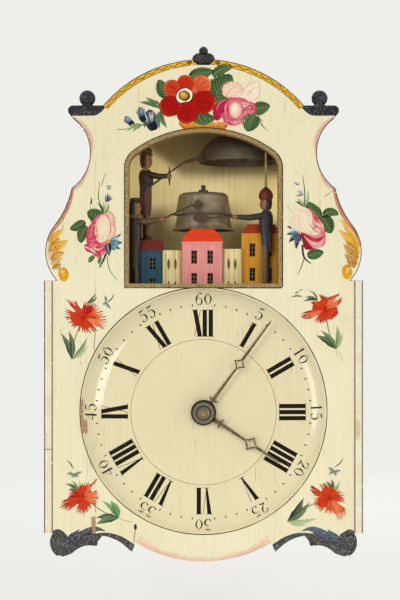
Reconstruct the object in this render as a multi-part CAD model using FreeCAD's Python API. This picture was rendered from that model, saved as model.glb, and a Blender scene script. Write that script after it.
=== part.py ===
import FreeCAD
import Part
import math
import os
from collections import namedtuple

# A painted wall clock. A shield-shaped board with a turned dial hides a wooden movement below
# and a small stage above, where three carved figures strike bells.
# Millimetres. +Z is up and the front faces -Y. The origin is the hanging hole, at the wall.

V = FreeCAD.Vector

# Clearances
RUN = 0.05            # radial play of a shaft in its hole
SLIP = 0.3            # gap between faces that move past each other
SEAT = 0.1            # play of a piece set into another
END_PLAY = 0.4        # play along a shaft

# Depths, from the wall forwards
BACK_T = 8.0          # back panel
PENDULUM_GAP = 16.0   # least space where the pendulum swings
BAR_T = 12.0          # pivot bars
TRAIN_DEPTH = 46.0    # between the rear and front bars
MOTION_GAP = 12.0     # between the front bars and the shield
BOARD_T = 12.0        # shield
STAGE_CLEAR = 1.0     # least gap between the stage box and the back panel

# Shield outline. A point is an inset from the half width and a rise above the dial centre.
HANG_RISE = 176.0     # hanging hole above the dial centre
DIAL_Z = -HANG_RISE
SHIELD_HALF_W = 135.5
CROWN_RISE = 316.8
CROWN_END = (45.0, 275.0)
SHELF_END_INSET = 17.5
SHELF_T = 9.0
SHELF_ROUND = 4.0
NECK = (17.5, 264.0)
WAIST = (33.4, 233.0)
CUSP = (16.8, 200.7)
FLANK_BEND = (10.0, 181.0)
FLANK = (0.7, 166.5)
BULGE = (-6.9, 143.5)
BULGE_END = (3.2, 117.6)
STRIP_TOP = 117.4
STRIP_FOOT = -109.8
STRIP_W = 8.0
STRIP_PROUD = 0.8
VOLUTE = (-2.7, -119.4)
VOLUTE_FOOT = (3.5, -130.3)
VOLUTE_END = (9.0, -131.2)
FOOT_RISE = (14.8, -129.5)
FOOT_BEND = (19.9, -125.7)
FOOT_HOLLOW = (25.7, -122.3)
FOOT_LIP = (32.0, -120.9)
FOOT_STEP = (39.4, -121.4)
STEP_TOP = (38.4, -112.0)
ARCH_START = (41.5, -112.0)
ARCH_BEND = (56.1, -115.7)
ARCH_END = (66.5, -122.9)
LEAF_TIP = (71.3, -127.2)
APRON_END = (74.2, -118.3)
APRON_DROP = -135.4

# Dial
DIAL_R = 110.0
DIAL_SHOULDER = (103.0, 6.5)
DIAL_FIELD = (90.0, 10.8)
DIAL_HEIGHT = 13.0
DIAL_SINK = 3.0
DIAL_HOLE_R = 6.0

# Arched stage opening
OPENING_HALF_W = 70.7
OPENING_FOOT = 111.2
OPENING_SPRING = 219.0
OPENING_TOP = 254.4
OPENING_CORNER_R = 18.7
BEAD_W = 3.5
BEAD_PROUD = 1.0

# Finials
BALL_INSET = 30.5
BALL_R = 7.3
BALL_NECK_R = 5.0
BALL_LIFT = 7.2
BULB_HALF_W = 10.25
BULB_FOOT = 311.5
BULB_TOP = 323.2
TIP_R = 4.1
TIP_RISE = 325.0

# Stage and case
FLOOR_RISE = 104.0
SHELF_BOARD_T = 10.0
STAGE_GAP = 1.3
SIDE_T = 6.0
ROOF_UNDER = 262.0
ROOF_T = 6.0
STAGE_BACK_T = 6.0
CASE_MARGIN = 8.0
CASE_FOOT = -92.0
STAGE_HALF_W = OPENING_HALF_W + STAGE_GAP
CASE_HALF_W = STAGE_HALF_W + SIDE_T + CASE_MARGIN
FLOOR_Z = DIAL_Z + FLOOR_RISE
CEILING_Z = FLOOR_Z - SHELF_BOARD_T
ROOF_Z = DIAL_Z + ROOF_UNDER
CASE_FOOT_Z = DIAL_Z + CASE_FOOT
CASE_FLOOR_Z = CASE_FOOT_Z + SHELF_BOARD_T
POST_W = 10.0
POST_INSET = 8.0
BAR_W = 24.0
SIDE_BAR_W = 14.0
TRAIN_X = 46.0
DOOR_T = 4.0
DOOR_INSET = 2.0
DOOR_PIN_R = 1.2
DOOR_PIN_REACH = 6.0
DOOR_AXIS_BACK = 6.0
DOOR_KNOB_R = 4.0
EAR_HALF_W = 30.0
EAR_RISE = 14.0
BATTEN_W = 12.0
BATTEN_T = 8.0
UPPER_BATTEN_HALF_W = 66.0
BATTEN_GAP = 4.0
CHAIN_SLOT_HALF_W = 13.0
CHAIN_SLOT_HALF_D = 4.5
NOTCH_HALF_W = 16.0
PLATE_HALF_W = 12.0
PLATE_HALF_H = 18.0
PLATE_T = 2.0
HANG_HOLE_R = 4.0
NAIL_HEAD_R = 7.0

# Wheels and arbors. Tooth sizes are shares of the module.
ADDENDUM = 0.9
DEDENDUM = 1.45
TIP_HALF = 0.24
ROOT_HALF = 0.60
TRUNDLE = 0.66
WHEEL_T = 2.0
RIM_SHARE = 3.0
WHEEL_HUB_R = 4.5
SPOKE_W = 3.2
ARBOR_R = 1.4
PIVOT_R = 1.2
BUSH_R = 3.5
LANTERN_CHEEK = 1.0
LANTERN_CLEAR = 1.0
SPROCKET_R = 8.0
SPROCKET_FLANGE_R = 10.5
SPROCKET_FLANGE_T = 1.5
SPROCKET_W = 12.0
SPROCKET_SPIKES = 8
SPIKE_R = 0.8

# Going train, counted upwards on the centre line
GREAT_TEETH = 72
GREAT_MODULE = 1.0
CENTRE_LEAVES = 8
CENTRE_TEETH = 72
CENTRE_MODULE = 0.75
THIRD_LEAVES = 6
THIRD_TEETH = 68
THIRD_MODULE = 0.7
ESCAPE_LEAVES = 6
ESCAPE_TEETH = 30
ESCAPE_R = 17.0
ESCAPE_ROOT_R = 13.6
ANCHOR_RISE = 24.85
PALLET_R = 19.0
PALLET_ANGLE = 47.0
GREAT_PLANE = 0.82
CENTRE_PLANE = 0.52
THIRD_PLANE = 0.30
ESCAPE_PLANE = 0.73
SPROCKET_PLANE = 0.55
PENDULUM_LENGTH = 193.5
BOB_R = 16.0
BOB_T = 6.0
ROD_R = 1.0
CRUTCH_DROP = 38.0
CRUTCH_R = 0.7
FORK_W = 1.8
STUD_R = 1.6

# Striking trains, one each side
STRIKE_RISE = 50.0
STRIKE_TEETH = 60
STRIKE_MODULE = 0.8
FLY_LEAVES = 8
STRIKE_PIN_R = 1.0
STRIKE_PIN_CIRCLE = 18.0
STRIKE_PIN_LENGTH = 6.0
HOUR_PINS = 6
QUARTER_PINS = 10
STRIKE_PLANE = 0.55
STRIKE_SPROCKET_PLANE = 0.79
FLY_PLANE = 0.20
FLY_R = 16.0
FLY_W = 11.0
FLY_T = 0.8

# Motion work and hands
CANNON_LEAVES = 12
MOTION_TEETH = 36
MOTION_MODULE = 1.0
MOTION_LEAVES = 12
HOUR_TEETH = 48
HOUR_MODULE = 0.8
MOTION_WHEEL_T = 1.6
LANTERN_THIN = 0.8
CANNON_BACK = 0.8
HOUR_WHEEL_FORWARD = 8.7
MOTION_STUD_R = 1.4
CENTRE_FRONT_R = 1.5
CANNON_R = 2.6
HOUR_PIPE_R = 4.2
HAND_T = 1.2
HOUR_HAND_FORWARD = 4.4
MINUTE_HAND_FORWARD = 9.2
HOUR_BOSS_R = 11.2
HOUR_BOSS_T = 3.4
MINUTE_BOSS_R = 9.5
HAND_NUT_R = 5.8
HAND_NUT_T = 3.0
SQUARE_HALF = 2.0
SQUARE_OUT = 1.6
MINUTE_ANGLE = 36.2
HOUR_ANGLE = 123.3
MINUTE_LENGTH = 102.0
HOUR_LENGTH = 82.0

# Bells on the post and under the roof
BELL_WALL = 1.6
UPPER_BELL_R = 28.2
UPPER_BELL_RISE = 179.5
UPPER_BELL_H = 20.5
LOWER_BELL_R = 29.2
LOWER_BELL_RISE = 165.0
LOWER_BELL_H = 20.0
LARGE_BELL_R = 37.5
LARGE_BELL_RISE = 228.6
LARGE_BELL_H = 29.0
# Bell forms, from the rim up, as shares of radius and height: flare, both ends of the side, shoulder,
# edge of the crown
SMALL_BELL_FORM = ((0.945, 0.09), (0.90, 0.24), (0.835, 0.74), (0.785, 0.93), (0.66, 1.0))
LARGE_BELL_FORM = ((0.967, 0.20), (0.915, 0.38), (0.87, 0.47), (0.62, 0.76), (0.18, 1.0))
POST_R = 2.0
POST_TOP = 207.5
POST_FOOT_R = 8.0
POST_FOOT_T = 6.0
COLLAR_R = 4.5
COLLAR_T = 3.0
NUT_R = 4.6
NUT_T = 3.0
BELL_SHIELD_GAP = 0.5       # large bell to the shield, the stage side and the painted back
BELL_SIDE_GAP = 1.8
BELL_BACK_GAP = 2.5

# Figures
FIGURE_DEPTH = 7.5          # front figures' axes behind the shield
HAMMER_STANDOFF = 1.3       # front hammers' middle plane before the rim of the small bells
UPPER_HAMMER_GAP = 2.0      # upper hammer's tip beside the rim of the large bell
UPPER_FIGURE_DEPTH = 27.0
LEFT_FIGURE_X = -62.6
RIGHT_FIGURE_X = 57.2
UPPER_FIGURE_X = -53.4
LEFT_FIGURE_H = 89.3
RIGHT_FIGURE_H = 99.7
UPPER_FIGURE_H = 86.3
FIGURE_ARBOR_R = 1.2
FIGURE_BASE_R = 5.0
FIGURE_BASE_T = 1.5
# Carved forms of the figures; half sizes are front to back, then side to side
COAT_SIDE = 4.7             # half width of a coat at the chest, the shoulders, the waist and the tails
SHOULDER_SIDE = 4.9
WAIST_SIDE = 4.2
TAIL_SIDE = 3.9
WAIST_SHARE = 0.84          # of the chest's depth
COLLAR_HALF = (3.3, 3.2)
NECK_R = 2.4
NECK_H = 3.0
SHOULDER_DROP = 3.2         # shoulder joint under the collar
SHOULDER_HALF = 2.7
SLEEVE_R = (3.0, 2.6, 2.1)  # at the shoulder, the elbow and the cuff
FIST_R = 2.3
HEAD_HALF = (5.2, 4.3)
HAIR_HALF = (4.5, 4.6)
NOSE_L = 1.7
LEG_SIDE = 2.2              # middle of a leg beside the arbor
LEG_HALF_W = 1.9
STRIDE = 1.2                # near leg forward, far leg back
SHOE_HALF = (3.3, 1.4)
TAIL_RISE = 71.6
TAIL_R = 1.0
TAIL_COLLAR_R = 2.2
TAIL_COLLAR_T = 1.5
HAMMER_ROD_R = 0.9
CLUB_RISE = 3.0             # upper hammer's tip above the rim of the large bell
CLUB_LENGTH = 16.4
CLUB_DROP = 4.6
PEG_HALF = 9.0
PEG_PROUD = 2.0

# Town in front of the bells: left edge, right edge, depth behind the shield, thickness, heights
BLUE_HOUSE = (-58.2, -37.5, 13.0, 21.0)
BLUE_WALL_TOP = 145.7
BLUE_ROOF_TOP = 155.2
LEFT_WALL = (-37.3, -19.7, 8.0, 10.0)
LEFT_WALL_TOP = 145.5
PINK_HOUSE = (-19.5, 17.1, 2.5, 5.0)
PINK_WALL_TOP = 153.2
PINK_ROOF_TOP = 164.9
PINK_ROOF_BENDS = ((0.41, 0.22), (0.77, 0.62))
RIGHT_WALL = (17.7, 35.0, 8.0, 10.0)
RIGHT_WALL_TOP = 146.7
YELLOW_HOUSE = (35.2, 69.2, 15.0, 13.0)
YELLOW_WALL_TOP = 161.5
YELLOW_ROOF_TOP = 169.9
EAVES = 0.7
CORNICE_T = 2.2
WINDOW_DEEP = 0.8
WINDOW_W = 5.0
BLUE_WINDOWS = ((0.55,), (109.3, 128.2), 10.4)      # shares of the width, sills, height
PINK_UPPER_WINDOWS = ((0.3, 0.7), (133.0,), 12.0)
PINK_LOWER_WINDOWS = ((0.3, 0.7), (113.5,), 11.0)
YELLOW_WINDOWS = ((0.29, 0.74), (117.5, 140.0), 12.0)
SLIT_W = 2.6
WALL_SLITS = ((0.31, 0.66), (107.0, 127.5), 10.6)
WALL_BULGE = 1.8

# Places that follow from these sizes: the stage is as deep as the bells need, and the case as the stage
# or the trains need
SMALL_BELL_DEPTH = FIGURE_DEPTH + HAMMER_STANDOFF + max(UPPER_BELL_R, LOWER_BELL_R)
BELL_DEPTH = max(SMALL_BELL_DEPTH, LARGE_BELL_R + BELL_SHIELD_GAP)
STAGE_DEPTH = BELL_DEPTH + LARGE_BELL_R + BELL_BACK_GAP
TRAINS_DEPTH = MOTION_GAP + 2 * BAR_T + TRAIN_DEPTH
PENDULUM_ROOM = max(PENDULUM_GAP, STAGE_DEPTH + STAGE_BACK_T + STAGE_CLEAR - TRAINS_DEPTH)
BACK_FRONT_Y = -BACK_T
REAR_BAR_BACK_Y = BACK_FRONT_Y - PENDULUM_ROOM
REAR_BAR_Y = REAR_BAR_BACK_Y - BAR_T
FRONT_BAR_Y = REAR_BAR_Y - TRAIN_DEPTH
FRONT_BAR_FACE_Y = FRONT_BAR_Y - BAR_T
SHIELD_BACK_Y = FRONT_BAR_FACE_Y - MOTION_GAP
SHIELD_Y = SHIELD_BACK_Y - BOARD_T
BELL_Y = SHIELD_BACK_Y + BELL_DEPTH
LARGE_BELL_X = STAGE_HALF_W - BELL_SIDE_GAP - LARGE_BELL_R
STAGE_BACK_Y = SHIELD_BACK_Y + STAGE_DEPTH


def box(x0, x1, y0, y1, z0, z1):
    return Part.makeBox(x1 - x0, y1 - y0, z1 - z0, V(x0, y0, z0))


def rod(start, end, radius):
    return Part.makeCylinder(radius, (end - start).Length, start, end - start)


def taper(start, end, radius, end_radius):
    return Part.makeCone(radius, end_radius, (end - start).Length, start, end - start)


def pin_y(x, z, y0, y1, radius):
    """A round pin along the depth of the clock."""
    return rod(V(x, y0, z), V(x, y1, z), radius)


def pin_z(x, y, z0, z1, radius):
    """A round pin standing upright."""
    return rod(V(x, y, z0), V(x, y, z1), radius)


def tube_y(x, z, y0, y1, radius, bore):
    return pin_y(x, z, y0, y1, radius).cut(pin_y(x, z, y0, y1, bore))


def united(solids):
    """One clean solid from overlapping ones."""
    whole = solids[0]
    for solid in solids[1:]:
        whole = whole.fuse(solid)
    return whole.removeSplitter()


def edge_list(path, place):
    """Edges along a path: a step is a point, or an arc's middle point and its end."""
    edges = []
    here = path[0]
    for step in path[1:]:
        if isinstance(step[0], tuple):
            middle, there = step
            edges.append(Part.Arc(place(here), place(middle), place(there)).toShape())
        else:
            there = step
            edges.append(Part.LineSegment(place(here), place(there)).toShape())
        here = there
    if place(here).distanceToPoint(place(path[0])) > 1e-6:
        edges.append(Part.LineSegment(place(here), place(path[0])).toShape())
    return edges


def closed_face(path, place):
    return Part.Face(Part.Wire(edge_list(path, place)))


def slab(path, y0, y1):
    """An outline in the front view, given depth."""
    face = closed_face(path, lambda p: V(p[0], y0, p[1]))
    return face.extrude(V(0, y1 - y0, 0))


def block(path, z0, z1):
    """An outline seen from above, given height."""
    face = closed_face(path, lambda p: V(p[0], p[1], z0))
    return face.extrude(V(0, 0, z1 - z0))


def turned_z(path, x, y, z):
    """A profile of radius and height, turned about an upright axis."""
    face = closed_face(path, lambda p: V(x + p[0], y, z + p[1]))
    return face.revolve(V(x, y, z), V(0, 0, 1), 360)


def turned_y(path, x, y, z):
    """A profile of radius and forward height, turned about an axis along the depth."""
    face = closed_face(path, lambda p: V(x + p[0], y - p[1], z))
    return face.revolve(V(x, y, z), V(0, 1, 0), 360)


def spun(path, start, end):
    """A profile of radius and distance, turned about the line from one point towards another."""
    face = closed_face(path, lambda p: V(p[0], 0, p[1]))
    solid = face.revolve(V(0, 0, 0), V(0, 0, 1), 360)
    solid.Placement = FreeCAD.Placement(start, FreeCAD.Rotation(V(0, 0, 1), end - start))
    return solid


def limb(start, end, radius, end_radius):
    """A tapered limb with round ends."""
    length = (end - start).Length
    corner = math.sqrt(0.5)
    return spun([(0.0, -radius), ((radius * corner, -radius * corner), (radius, 0.0)), (end_radius, length),
                 ((end_radius * corner, length + end_radius * corner), (0.0, length + end_radius))], start, end)


def bow(start, end, sag):
    """Middle point of an arc that stands off its chord, to the left of the way along it."""
    dx = end[0] - start[0]
    dz = end[1] - start[1]
    span = math.hypot(dx, dz)
    return ((start[0] + end[0]) / 2 - dz / span * sag, (start[1] + end[1]) / 2 + dx / span * sag)


def on_arc(half_w, rise, share):
    """Point at a share of the angle from the top of a symmetric arc to its end, below the top."""
    radius = (half_w ** 2 + rise ** 2) / (2 * rise)
    angle = share * math.asin(half_w / radius)
    return radius * math.sin(angle), radius * (1 - math.cos(angle))


def both_sides(half):
    """A path down the right side, continued up its mirror image."""
    points = [half[0]]
    middles = []
    for step in half[1:]:
        arc = isinstance(step[0], tuple)
        middles.append(step[0] if arc else None)
        points.append(step[1] if arc else step)
    path = list(half)
    for i in reversed(range(len(middles))):
        end = (-points[i][0], points[i][1])
        if middles[i]:
            path.append(((-middles[i][0], middles[i][1]), end))
        else:
            path.append(end)
    return path


def mirrored(solid):
    return solid.mirror(V(0, 0, 0), V(1, 0, 0))


def at_outline(point):
    inset, rise = point
    return (SHIELD_HALF_W - inset, DIAL_Z + rise)


def shield_path():
    crown_x, crown_z = at_outline(CROWN_END)
    crown_drop = CROWN_RISE - CROWN_END[1]
    mid_x, mid_drop = on_arc(crown_x, crown_drop, 0.5)
    shelf_x = SHIELD_HALF_W - SHELF_END_INSET
    shelf_z = crown_z - SHELF_T
    foot_z = DIAL_Z + STRIP_FOOT
    apron_x, apron_z = at_outline(APRON_END)
    apron_mid_x, apron_mid = on_arc(apron_x, APRON_END[1] - APRON_DROP, 0.5)
    half = [
        (0.0, DIAL_Z + CROWN_RISE),
        ((mid_x, DIAL_Z + CROWN_RISE - mid_drop), (crown_x, crown_z)),
        (shelf_x, crown_z),
        ((shelf_x + SHELF_ROUND, crown_z - SHELF_T / 2), (shelf_x, shelf_z)),
        at_outline(NECK),
        (at_outline(WAIST), at_outline(CUSP)),
        (at_outline(FLANK_BEND), at_outline(FLANK)),
        (at_outline(BULGE), at_outline(BULGE_END)),
        (SHIELD_HALF_W, DIAL_Z + STRIP_TOP),
        (SHIELD_HALF_W, foot_z),
        (at_outline(VOLUTE), at_outline(VOLUTE_FOOT)),
        (bow(at_outline(VOLUTE_FOOT), at_outline(VOLUTE_END), -0.6), at_outline(VOLUTE_END)),
        (at_outline(FOOT_RISE), at_outline(FOOT_BEND)),
        (at_outline(FOOT_HOLLOW), at_outline(FOOT_LIP)),
        at_outline(FOOT_STEP),
        at_outline(STEP_TOP),
        at_outline(ARCH_START),
        (at_outline(ARCH_BEND), at_outline(ARCH_END)),
        at_outline(LEAF_TIP),
        (apron_x, apron_z),
        ((apron_mid_x, DIAL_Z + APRON_DROP + apron_mid), (0.0, DIAL_Z + APRON_DROP)),
    ]
    return both_sides(half)


def opening_path(inset):
    """The arched opening, drawn in all round by an inset."""
    half_w = OPENING_HALF_W - inset
    corner = OPENING_CORNER_R - inset
    top = DIAL_Z + OPENING_TOP - inset
    foot = DIAL_Z + OPENING_FOOT + inset
    spring = DIAL_Z + OPENING_SPRING
    centre_x = OPENING_HALF_W - OPENING_CORNER_R
    rise = OPENING_TOP - OPENING_SPRING
    big = (centre_x ** 2 + rise ** 2 - OPENING_CORNER_R ** 2) / (2 * (rise - OPENING_CORNER_R)) - inset
    big_z = top - big
    lean = math.atan2(centre_x, spring - big_z)
    join = (centre_x + corner * math.sin(lean), spring + corner * math.cos(lean))
    half_lean = lean / 2
    corner_turn = (lean + math.pi / 2) / 2
    half = [
        (0.0, top),
        ((big * math.sin(half_lean), big_z + big * math.cos(half_lean)), join),
        ((centre_x + corner * math.sin(corner_turn), spring + corner * math.cos(corner_turn)),
         (half_w, spring)),
        (half_w, foot),
        (0.0, foot),
    ]
    return both_sides(half)


def shield_board():
    board = slab(shield_path(), SHIELD_BACK_Y, SHIELD_Y)
    mid_r, mid_drop = on_arc(DIAL_FIELD[0], DIAL_HEIGHT - DIAL_FIELD[1], 0.5)
    dome = turned_y([
        (0.0, -DIAL_SINK),
        (0.0, DIAL_HEIGHT),
        ((mid_r, DIAL_HEIGHT - mid_drop), DIAL_FIELD),
        (DIAL_SHOULDER, (DIAL_R, 0.0)),
        (DIAL_R, -DIAL_SINK),
    ], 0, SHIELD_Y, DIAL_Z)
    reach = BOARD_T + DIAL_HEIGHT + 1
    hole = pin_y(0, DIAL_Z, SHIELD_BACK_Y, SHIELD_BACK_Y - reach, DIAL_HOLE_R)
    opening = slab(opening_path(0), SHIELD_BACK_Y, SHIELD_BACK_Y - reach)
    notch = box(-BULB_HALF_W - SEAT, BULB_HALF_W + SEAT, SHIELD_Y, SHIELD_BACK_Y,
                DIAL_Z + BULB_FOOT - SEAT, DIAL_Z + CROWN_RISE + 1)
    return board.fuse(dome).removeSplitter().cut([hole, opening, notch])


def edge_strips():
    strip = box(SHIELD_HALF_W, SHIELD_HALF_W + STRIP_W, SHIELD_Y - STRIP_PROUD, SHIELD_BACK_Y,
                DIAL_Z + STRIP_FOOT, DIAL_Z + STRIP_TOP)
    front = [e for e in strip.Edges if e.BoundBox.YMax < SHIELD_Y]
    strip = strip.makeFillet(STRIP_PROUD, front)
    return [strip, mirrored(strip)]


def side_finials():
    x = SHIELD_HALF_W - BALL_INSET
    y = (SHIELD_Y + SHIELD_BACK_Y) / 2
    z = DIAL_Z + CROWN_END[1]
    ball = Part.makeSphere(BALL_R, V(x, y, z + BALL_LIFT))
    neck = pin_z(x, y, z, z + BALL_LIFT, BALL_NECK_R)
    below = box(x - BALL_R, x + BALL_R, y - BALL_R, y + BALL_R, z - BALL_R, z)
    finial = united([ball, neck]).cut(below)
    return [finial, mirrored(finial)]


def finial_top():
    y = (SHIELD_Y + SHIELD_BACK_Y) / 2
    lobe_r = (BULB_TOP - BULB_FOOT) / 2
    z = DIAL_Z + BULB_FOOT + lobe_r
    lobe = BULB_HALF_W - lobe_r
    end = V(BULB_HALF_W, y, z)
    corner = lobe_r * math.sqrt(0.5)
    lobes = spun([(0.0, 0.0), ((corner, lobe_r - corner), (lobe_r, lobe_r)),
                  ((lobe_r * 0.92, BULB_HALF_W), (lobe_r, BULB_HALF_W + lobe)),
                  ((corner, BULB_HALF_W + lobe + corner), (0.0, 2 * BULB_HALF_W))],
                 V(-BULB_HALF_W, y, z), end)
    tip = Part.makeSphere(TIP_R, V(0, y, DIAL_Z + TIP_RISE))
    return united([lobes, tip])


def opening_bead():
    front = SHIELD_Y - BEAD_PROUD
    back = SHIELD_BACK_Y + BEAD_PROUD
    return slab(opening_path(SEAT), back, front).cut(slab(opening_path(BEAD_W), back, front))


def shield_battens():
    """Cross battens that keep the board flat, below the case and above the stage."""
    y1 = SHIELD_BACK_Y + BATTEN_T
    lower = box(-CASE_HALF_W, CASE_HALF_W, SHIELD_BACK_Y, y1,
                CASE_FOOT_Z - BATTEN_GAP - BATTEN_W, CASE_FOOT_Z - BATTEN_GAP)
    upper_z = ROOF_Z + ROOF_T + BATTEN_GAP
    upper = box(-UPPER_BATTEN_HALF_W, UPPER_BATTEN_HALF_W, SHIELD_BACK_Y, y1, upper_z, upper_z + BATTEN_W)
    return [lower, upper]


def figure_places():
    """Axis x, y and floor height of each figure."""
    front_y = SHIELD_BACK_Y + FIGURE_DEPTH
    return {
        "left": (LEFT_FIGURE_X, front_y, FLOOR_Z),
        "right": (RIGHT_FIGURE_X, front_y, FLOOR_Z),
        "upper": (UPPER_FIGURE_X, SHIELD_BACK_Y + UPPER_FIGURE_DEPTH, DIAL_Z + BLUE_ROOF_TOP),
    }


def arbor_holes(z0, z1, names):
    places = figure_places()
    return [pin_z(places[n][0], places[n][1], z0, z1, FIGURE_ARBOR_R + RUN) for n in names]


def door_axis():
    return CASE_HALF_W - DOOR_INSET - DOOR_T / 2, BACK_FRONT_Y - DOOR_AXIS_BACK


def door_pin_holes(z0, z1):
    x, y = door_axis()
    return [pin_z(side * x, y, z0, z1, DOOR_PIN_R + RUN) for side in (-1, 1)]


def top_board():
    """The stage floor, which is also the roof of the movement."""
    board = box(-CASE_HALF_W, CASE_HALF_W, SHIELD_BACK_Y, BACK_FRONT_Y, CEILING_Z, FLOOR_Z)
    holes = arbor_holes(CEILING_Z, FLOOR_Z, ("left", "right", "upper"))
    return board.cut(holes + door_pin_holes(CEILING_Z, CEILING_Z + DOOR_PIN_REACH + END_PLAY))


def bottom_board():
    board = box(-CASE_HALF_W, CASE_HALF_W, SHIELD_BACK_Y, BACK_FRONT_Y, CASE_FOOT_Z, CASE_FLOOR_Z)
    slots = []
    for x, plane in chain_slots():
        y = train_y(plane)
        slots.append(box(x - CHAIN_SLOT_HALF_W, x + CHAIN_SLOT_HALF_W, y - CHAIN_SLOT_HALF_D,
                         y + CHAIN_SLOT_HALF_D, CASE_FOOT_Z, CASE_FLOOR_Z))
    notch = box(-NOTCH_HALF_W, NOTCH_HALF_W, REAR_BAR_BACK_Y, BACK_FRONT_Y, CASE_FOOT_Z, CASE_FLOOR_Z)
    pins = door_pin_holes(CASE_FLOOR_Z - DOOR_PIN_REACH - END_PLAY, CASE_FLOOR_Z)
    return board.cut(slots + [notch] + pins)


def chain_slots():
    return ((-TRAIN_X, STRIKE_SPROCKET_PLANE), (0.0, SPROCKET_PLANE), (TRAIN_X, STRIKE_SPROCKET_PLANE))


def stage_side():
    return box(STAGE_HALF_W, STAGE_HALF_W + SIDE_T, SHIELD_BACK_Y, STAGE_BACK_Y + STAGE_BACK_T,
               FLOOR_Z, ROOF_Z)


def stage_back():
    return box(-STAGE_HALF_W, STAGE_HALF_W, STAGE_BACK_Y, STAGE_BACK_Y + STAGE_BACK_T, FLOOR_Z, ROOF_Z)


def stage_roof():
    half_w = STAGE_HALF_W + SIDE_T
    roof = box(-half_w, half_w, SHIELD_BACK_Y, STAGE_BACK_Y + STAGE_BACK_T, ROOF_Z, ROOF_Z + ROOF_T)
    screw = pin_z(LARGE_BELL_X, BELL_Y, ROOF_Z, ROOF_Z + ROOF_T, POST_R)
    return roof.cut(arbor_holes(ROOF_Z, ROOF_Z + ROOF_T, ("right",)) + [screw])


def back_panel():
    """The movement's back, with an ear that carries the hanging plate."""
    top = PLATE_HALF_H + EAR_RISE - 4
    panel = [
        (0.0, top),
        (EAR_HALF_W - EAR_RISE, top),
        (bow((EAR_HALF_W - EAR_RISE, top), (EAR_HALF_W, top - EAR_RISE), 5.8), (EAR_HALF_W, top - EAR_RISE)),
        (EAR_HALF_W, FLOOR_Z),
        (CASE_HALF_W, FLOOR_Z),
        (CASE_HALF_W, CASE_FOOT_Z),
        (0.0, CASE_FOOT_Z),
    ]
    body = slab(both_sides(panel), 0, BACK_FRONT_Y)
    pocket = box(-PLATE_HALF_W, PLATE_HALF_W, -PLATE_T, 0, -PLATE_HALF_H, PLATE_HALF_H)
    nail_room = pin_y(0, 0, 0, BACK_FRONT_Y, NAIL_HEAD_R)
    stud = pin_y(0, anchor_z(), 0, BACK_FRONT_Y, STUD_R)
    return body.cut([pocket, nail_room, stud])


def hanging_plate():
    plate = box(-PLATE_HALF_W, PLATE_HALF_W, -PLATE_T, 0, -PLATE_HALF_H, PLATE_HALF_H)
    return plate.cut(pin_y(0, 0, 0, -PLATE_T, HANG_HOLE_R))


def corner_posts():
    posts = []
    x1 = CASE_HALF_W - POST_INSET
    for side in (-1, 1):
        for y in (SHIELD_BACK_Y + 1, REAR_BAR_BACK_Y - POST_W):
            x = sorted((side * x1, side * (x1 - POST_W)))
            posts.append(box(x[0], x[1], y, y + POST_W, CASE_FLOOR_Z, CEILING_Z))
    return posts


def train_y(share):
    """Depth of a wheel's middle plane, as a share of the way from the front bars to the rear ones."""
    return FRONT_BAR_Y + share * TRAIN_DEPTH


def mesh_distance(teeth, leaves, module):
    return (teeth + leaves) * module / 2


def centre_z():
    return DIAL_Z


def great_z():
    return DIAL_Z - mesh_distance(GREAT_TEETH, CENTRE_LEAVES, GREAT_MODULE)


def third_z():
    return DIAL_Z + mesh_distance(CENTRE_TEETH, THIRD_LEAVES, CENTRE_MODULE)


def escape_z():
    return third_z() + mesh_distance(THIRD_TEETH, ESCAPE_LEAVES, THIRD_MODULE)


def anchor_z():
    return escape_z() + ANCHOR_RISE


def strike_z():
    return DIAL_Z + STRIKE_RISE


def fly_z():
    return strike_z() - mesh_distance(STRIKE_TEETH, FLY_LEAVES, STRIKE_MODULE)


def pivots():
    """Every arbor that turns in the bars: x, z and the radius in the front and rear bush."""
    going = [(0.0, great_z(), PIVOT_R, PIVOT_R), (0.0, centre_z(), CENTRE_FRONT_R, PIVOT_R),
             (0.0, third_z(), PIVOT_R, PIVOT_R), (0.0, escape_z(), PIVOT_R, PIVOT_R),
             (0.0, anchor_z(), PIVOT_R, PIVOT_R)]
    strike = []
    for side in (-1, 1):
        strike.append((side * TRAIN_X, strike_z(), PIVOT_R, PIVOT_R))
        strike.append((side * TRAIN_X, fly_z(), PIVOT_R, PIVOT_R))
    return going + strike


def bars(y):
    """Three upright bars that carry one end of every arbor."""
    made = []
    for x, width in ((-TRAIN_X, SIDE_BAR_W), (0.0, BAR_W), (TRAIN_X, SIDE_BAR_W)):
        bar = box(x - width / 2, x + width / 2, y, y + BAR_T, CASE_FLOOR_Z, CEILING_Z)
        holes = [pin_y(p[0], p[1], y, y + BAR_T, BUSH_R) for p in pivots() if p[0] == x]
        made.append(bar.cut(holes))
    return made


def front_bars():
    made = bars(FRONT_BAR_FACE_Y)
    stud = pin_y(0, motion_z(), FRONT_BAR_FACE_Y, FRONT_BAR_Y, MOTION_STUD_R)
    return [bar.cut(stud) for bar in made]


def rear_bars():
    return bars(REAR_BAR_Y)


def pivot_bushes():
    bushes = []
    for x, z, front_r, rear_r in pivots():
        bushes.append(tube_y(x, z, FRONT_BAR_FACE_Y, FRONT_BAR_Y, BUSH_R, front_r + RUN))
        bushes.append(tube_y(x, z, REAR_BAR_Y, REAR_BAR_BACK_Y, BUSH_R, rear_r + RUN))
    return bushes


def tooth_ring(teeth, module, x, z, phase):
    """Outline of a toothed wheel, with one tooth at the phase angle."""
    pitch = teeth * module / 2
    root = pitch - DEDENDUM * module
    tip = pitch + ADDENDUM * module
    corners = ((root, -ROOT_HALF), (tip, -TIP_HALF), (tip, TIP_HALF), (root, ROOT_HALF))
    points = []
    for i in range(teeth):
        middle = phase + 2 * math.pi * i / teeth
        for radius, half in corners:
            angle = middle + half * module / radius
            points.append((x + radius * math.cos(angle), z + radius * math.sin(angle)))
    return points


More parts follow.
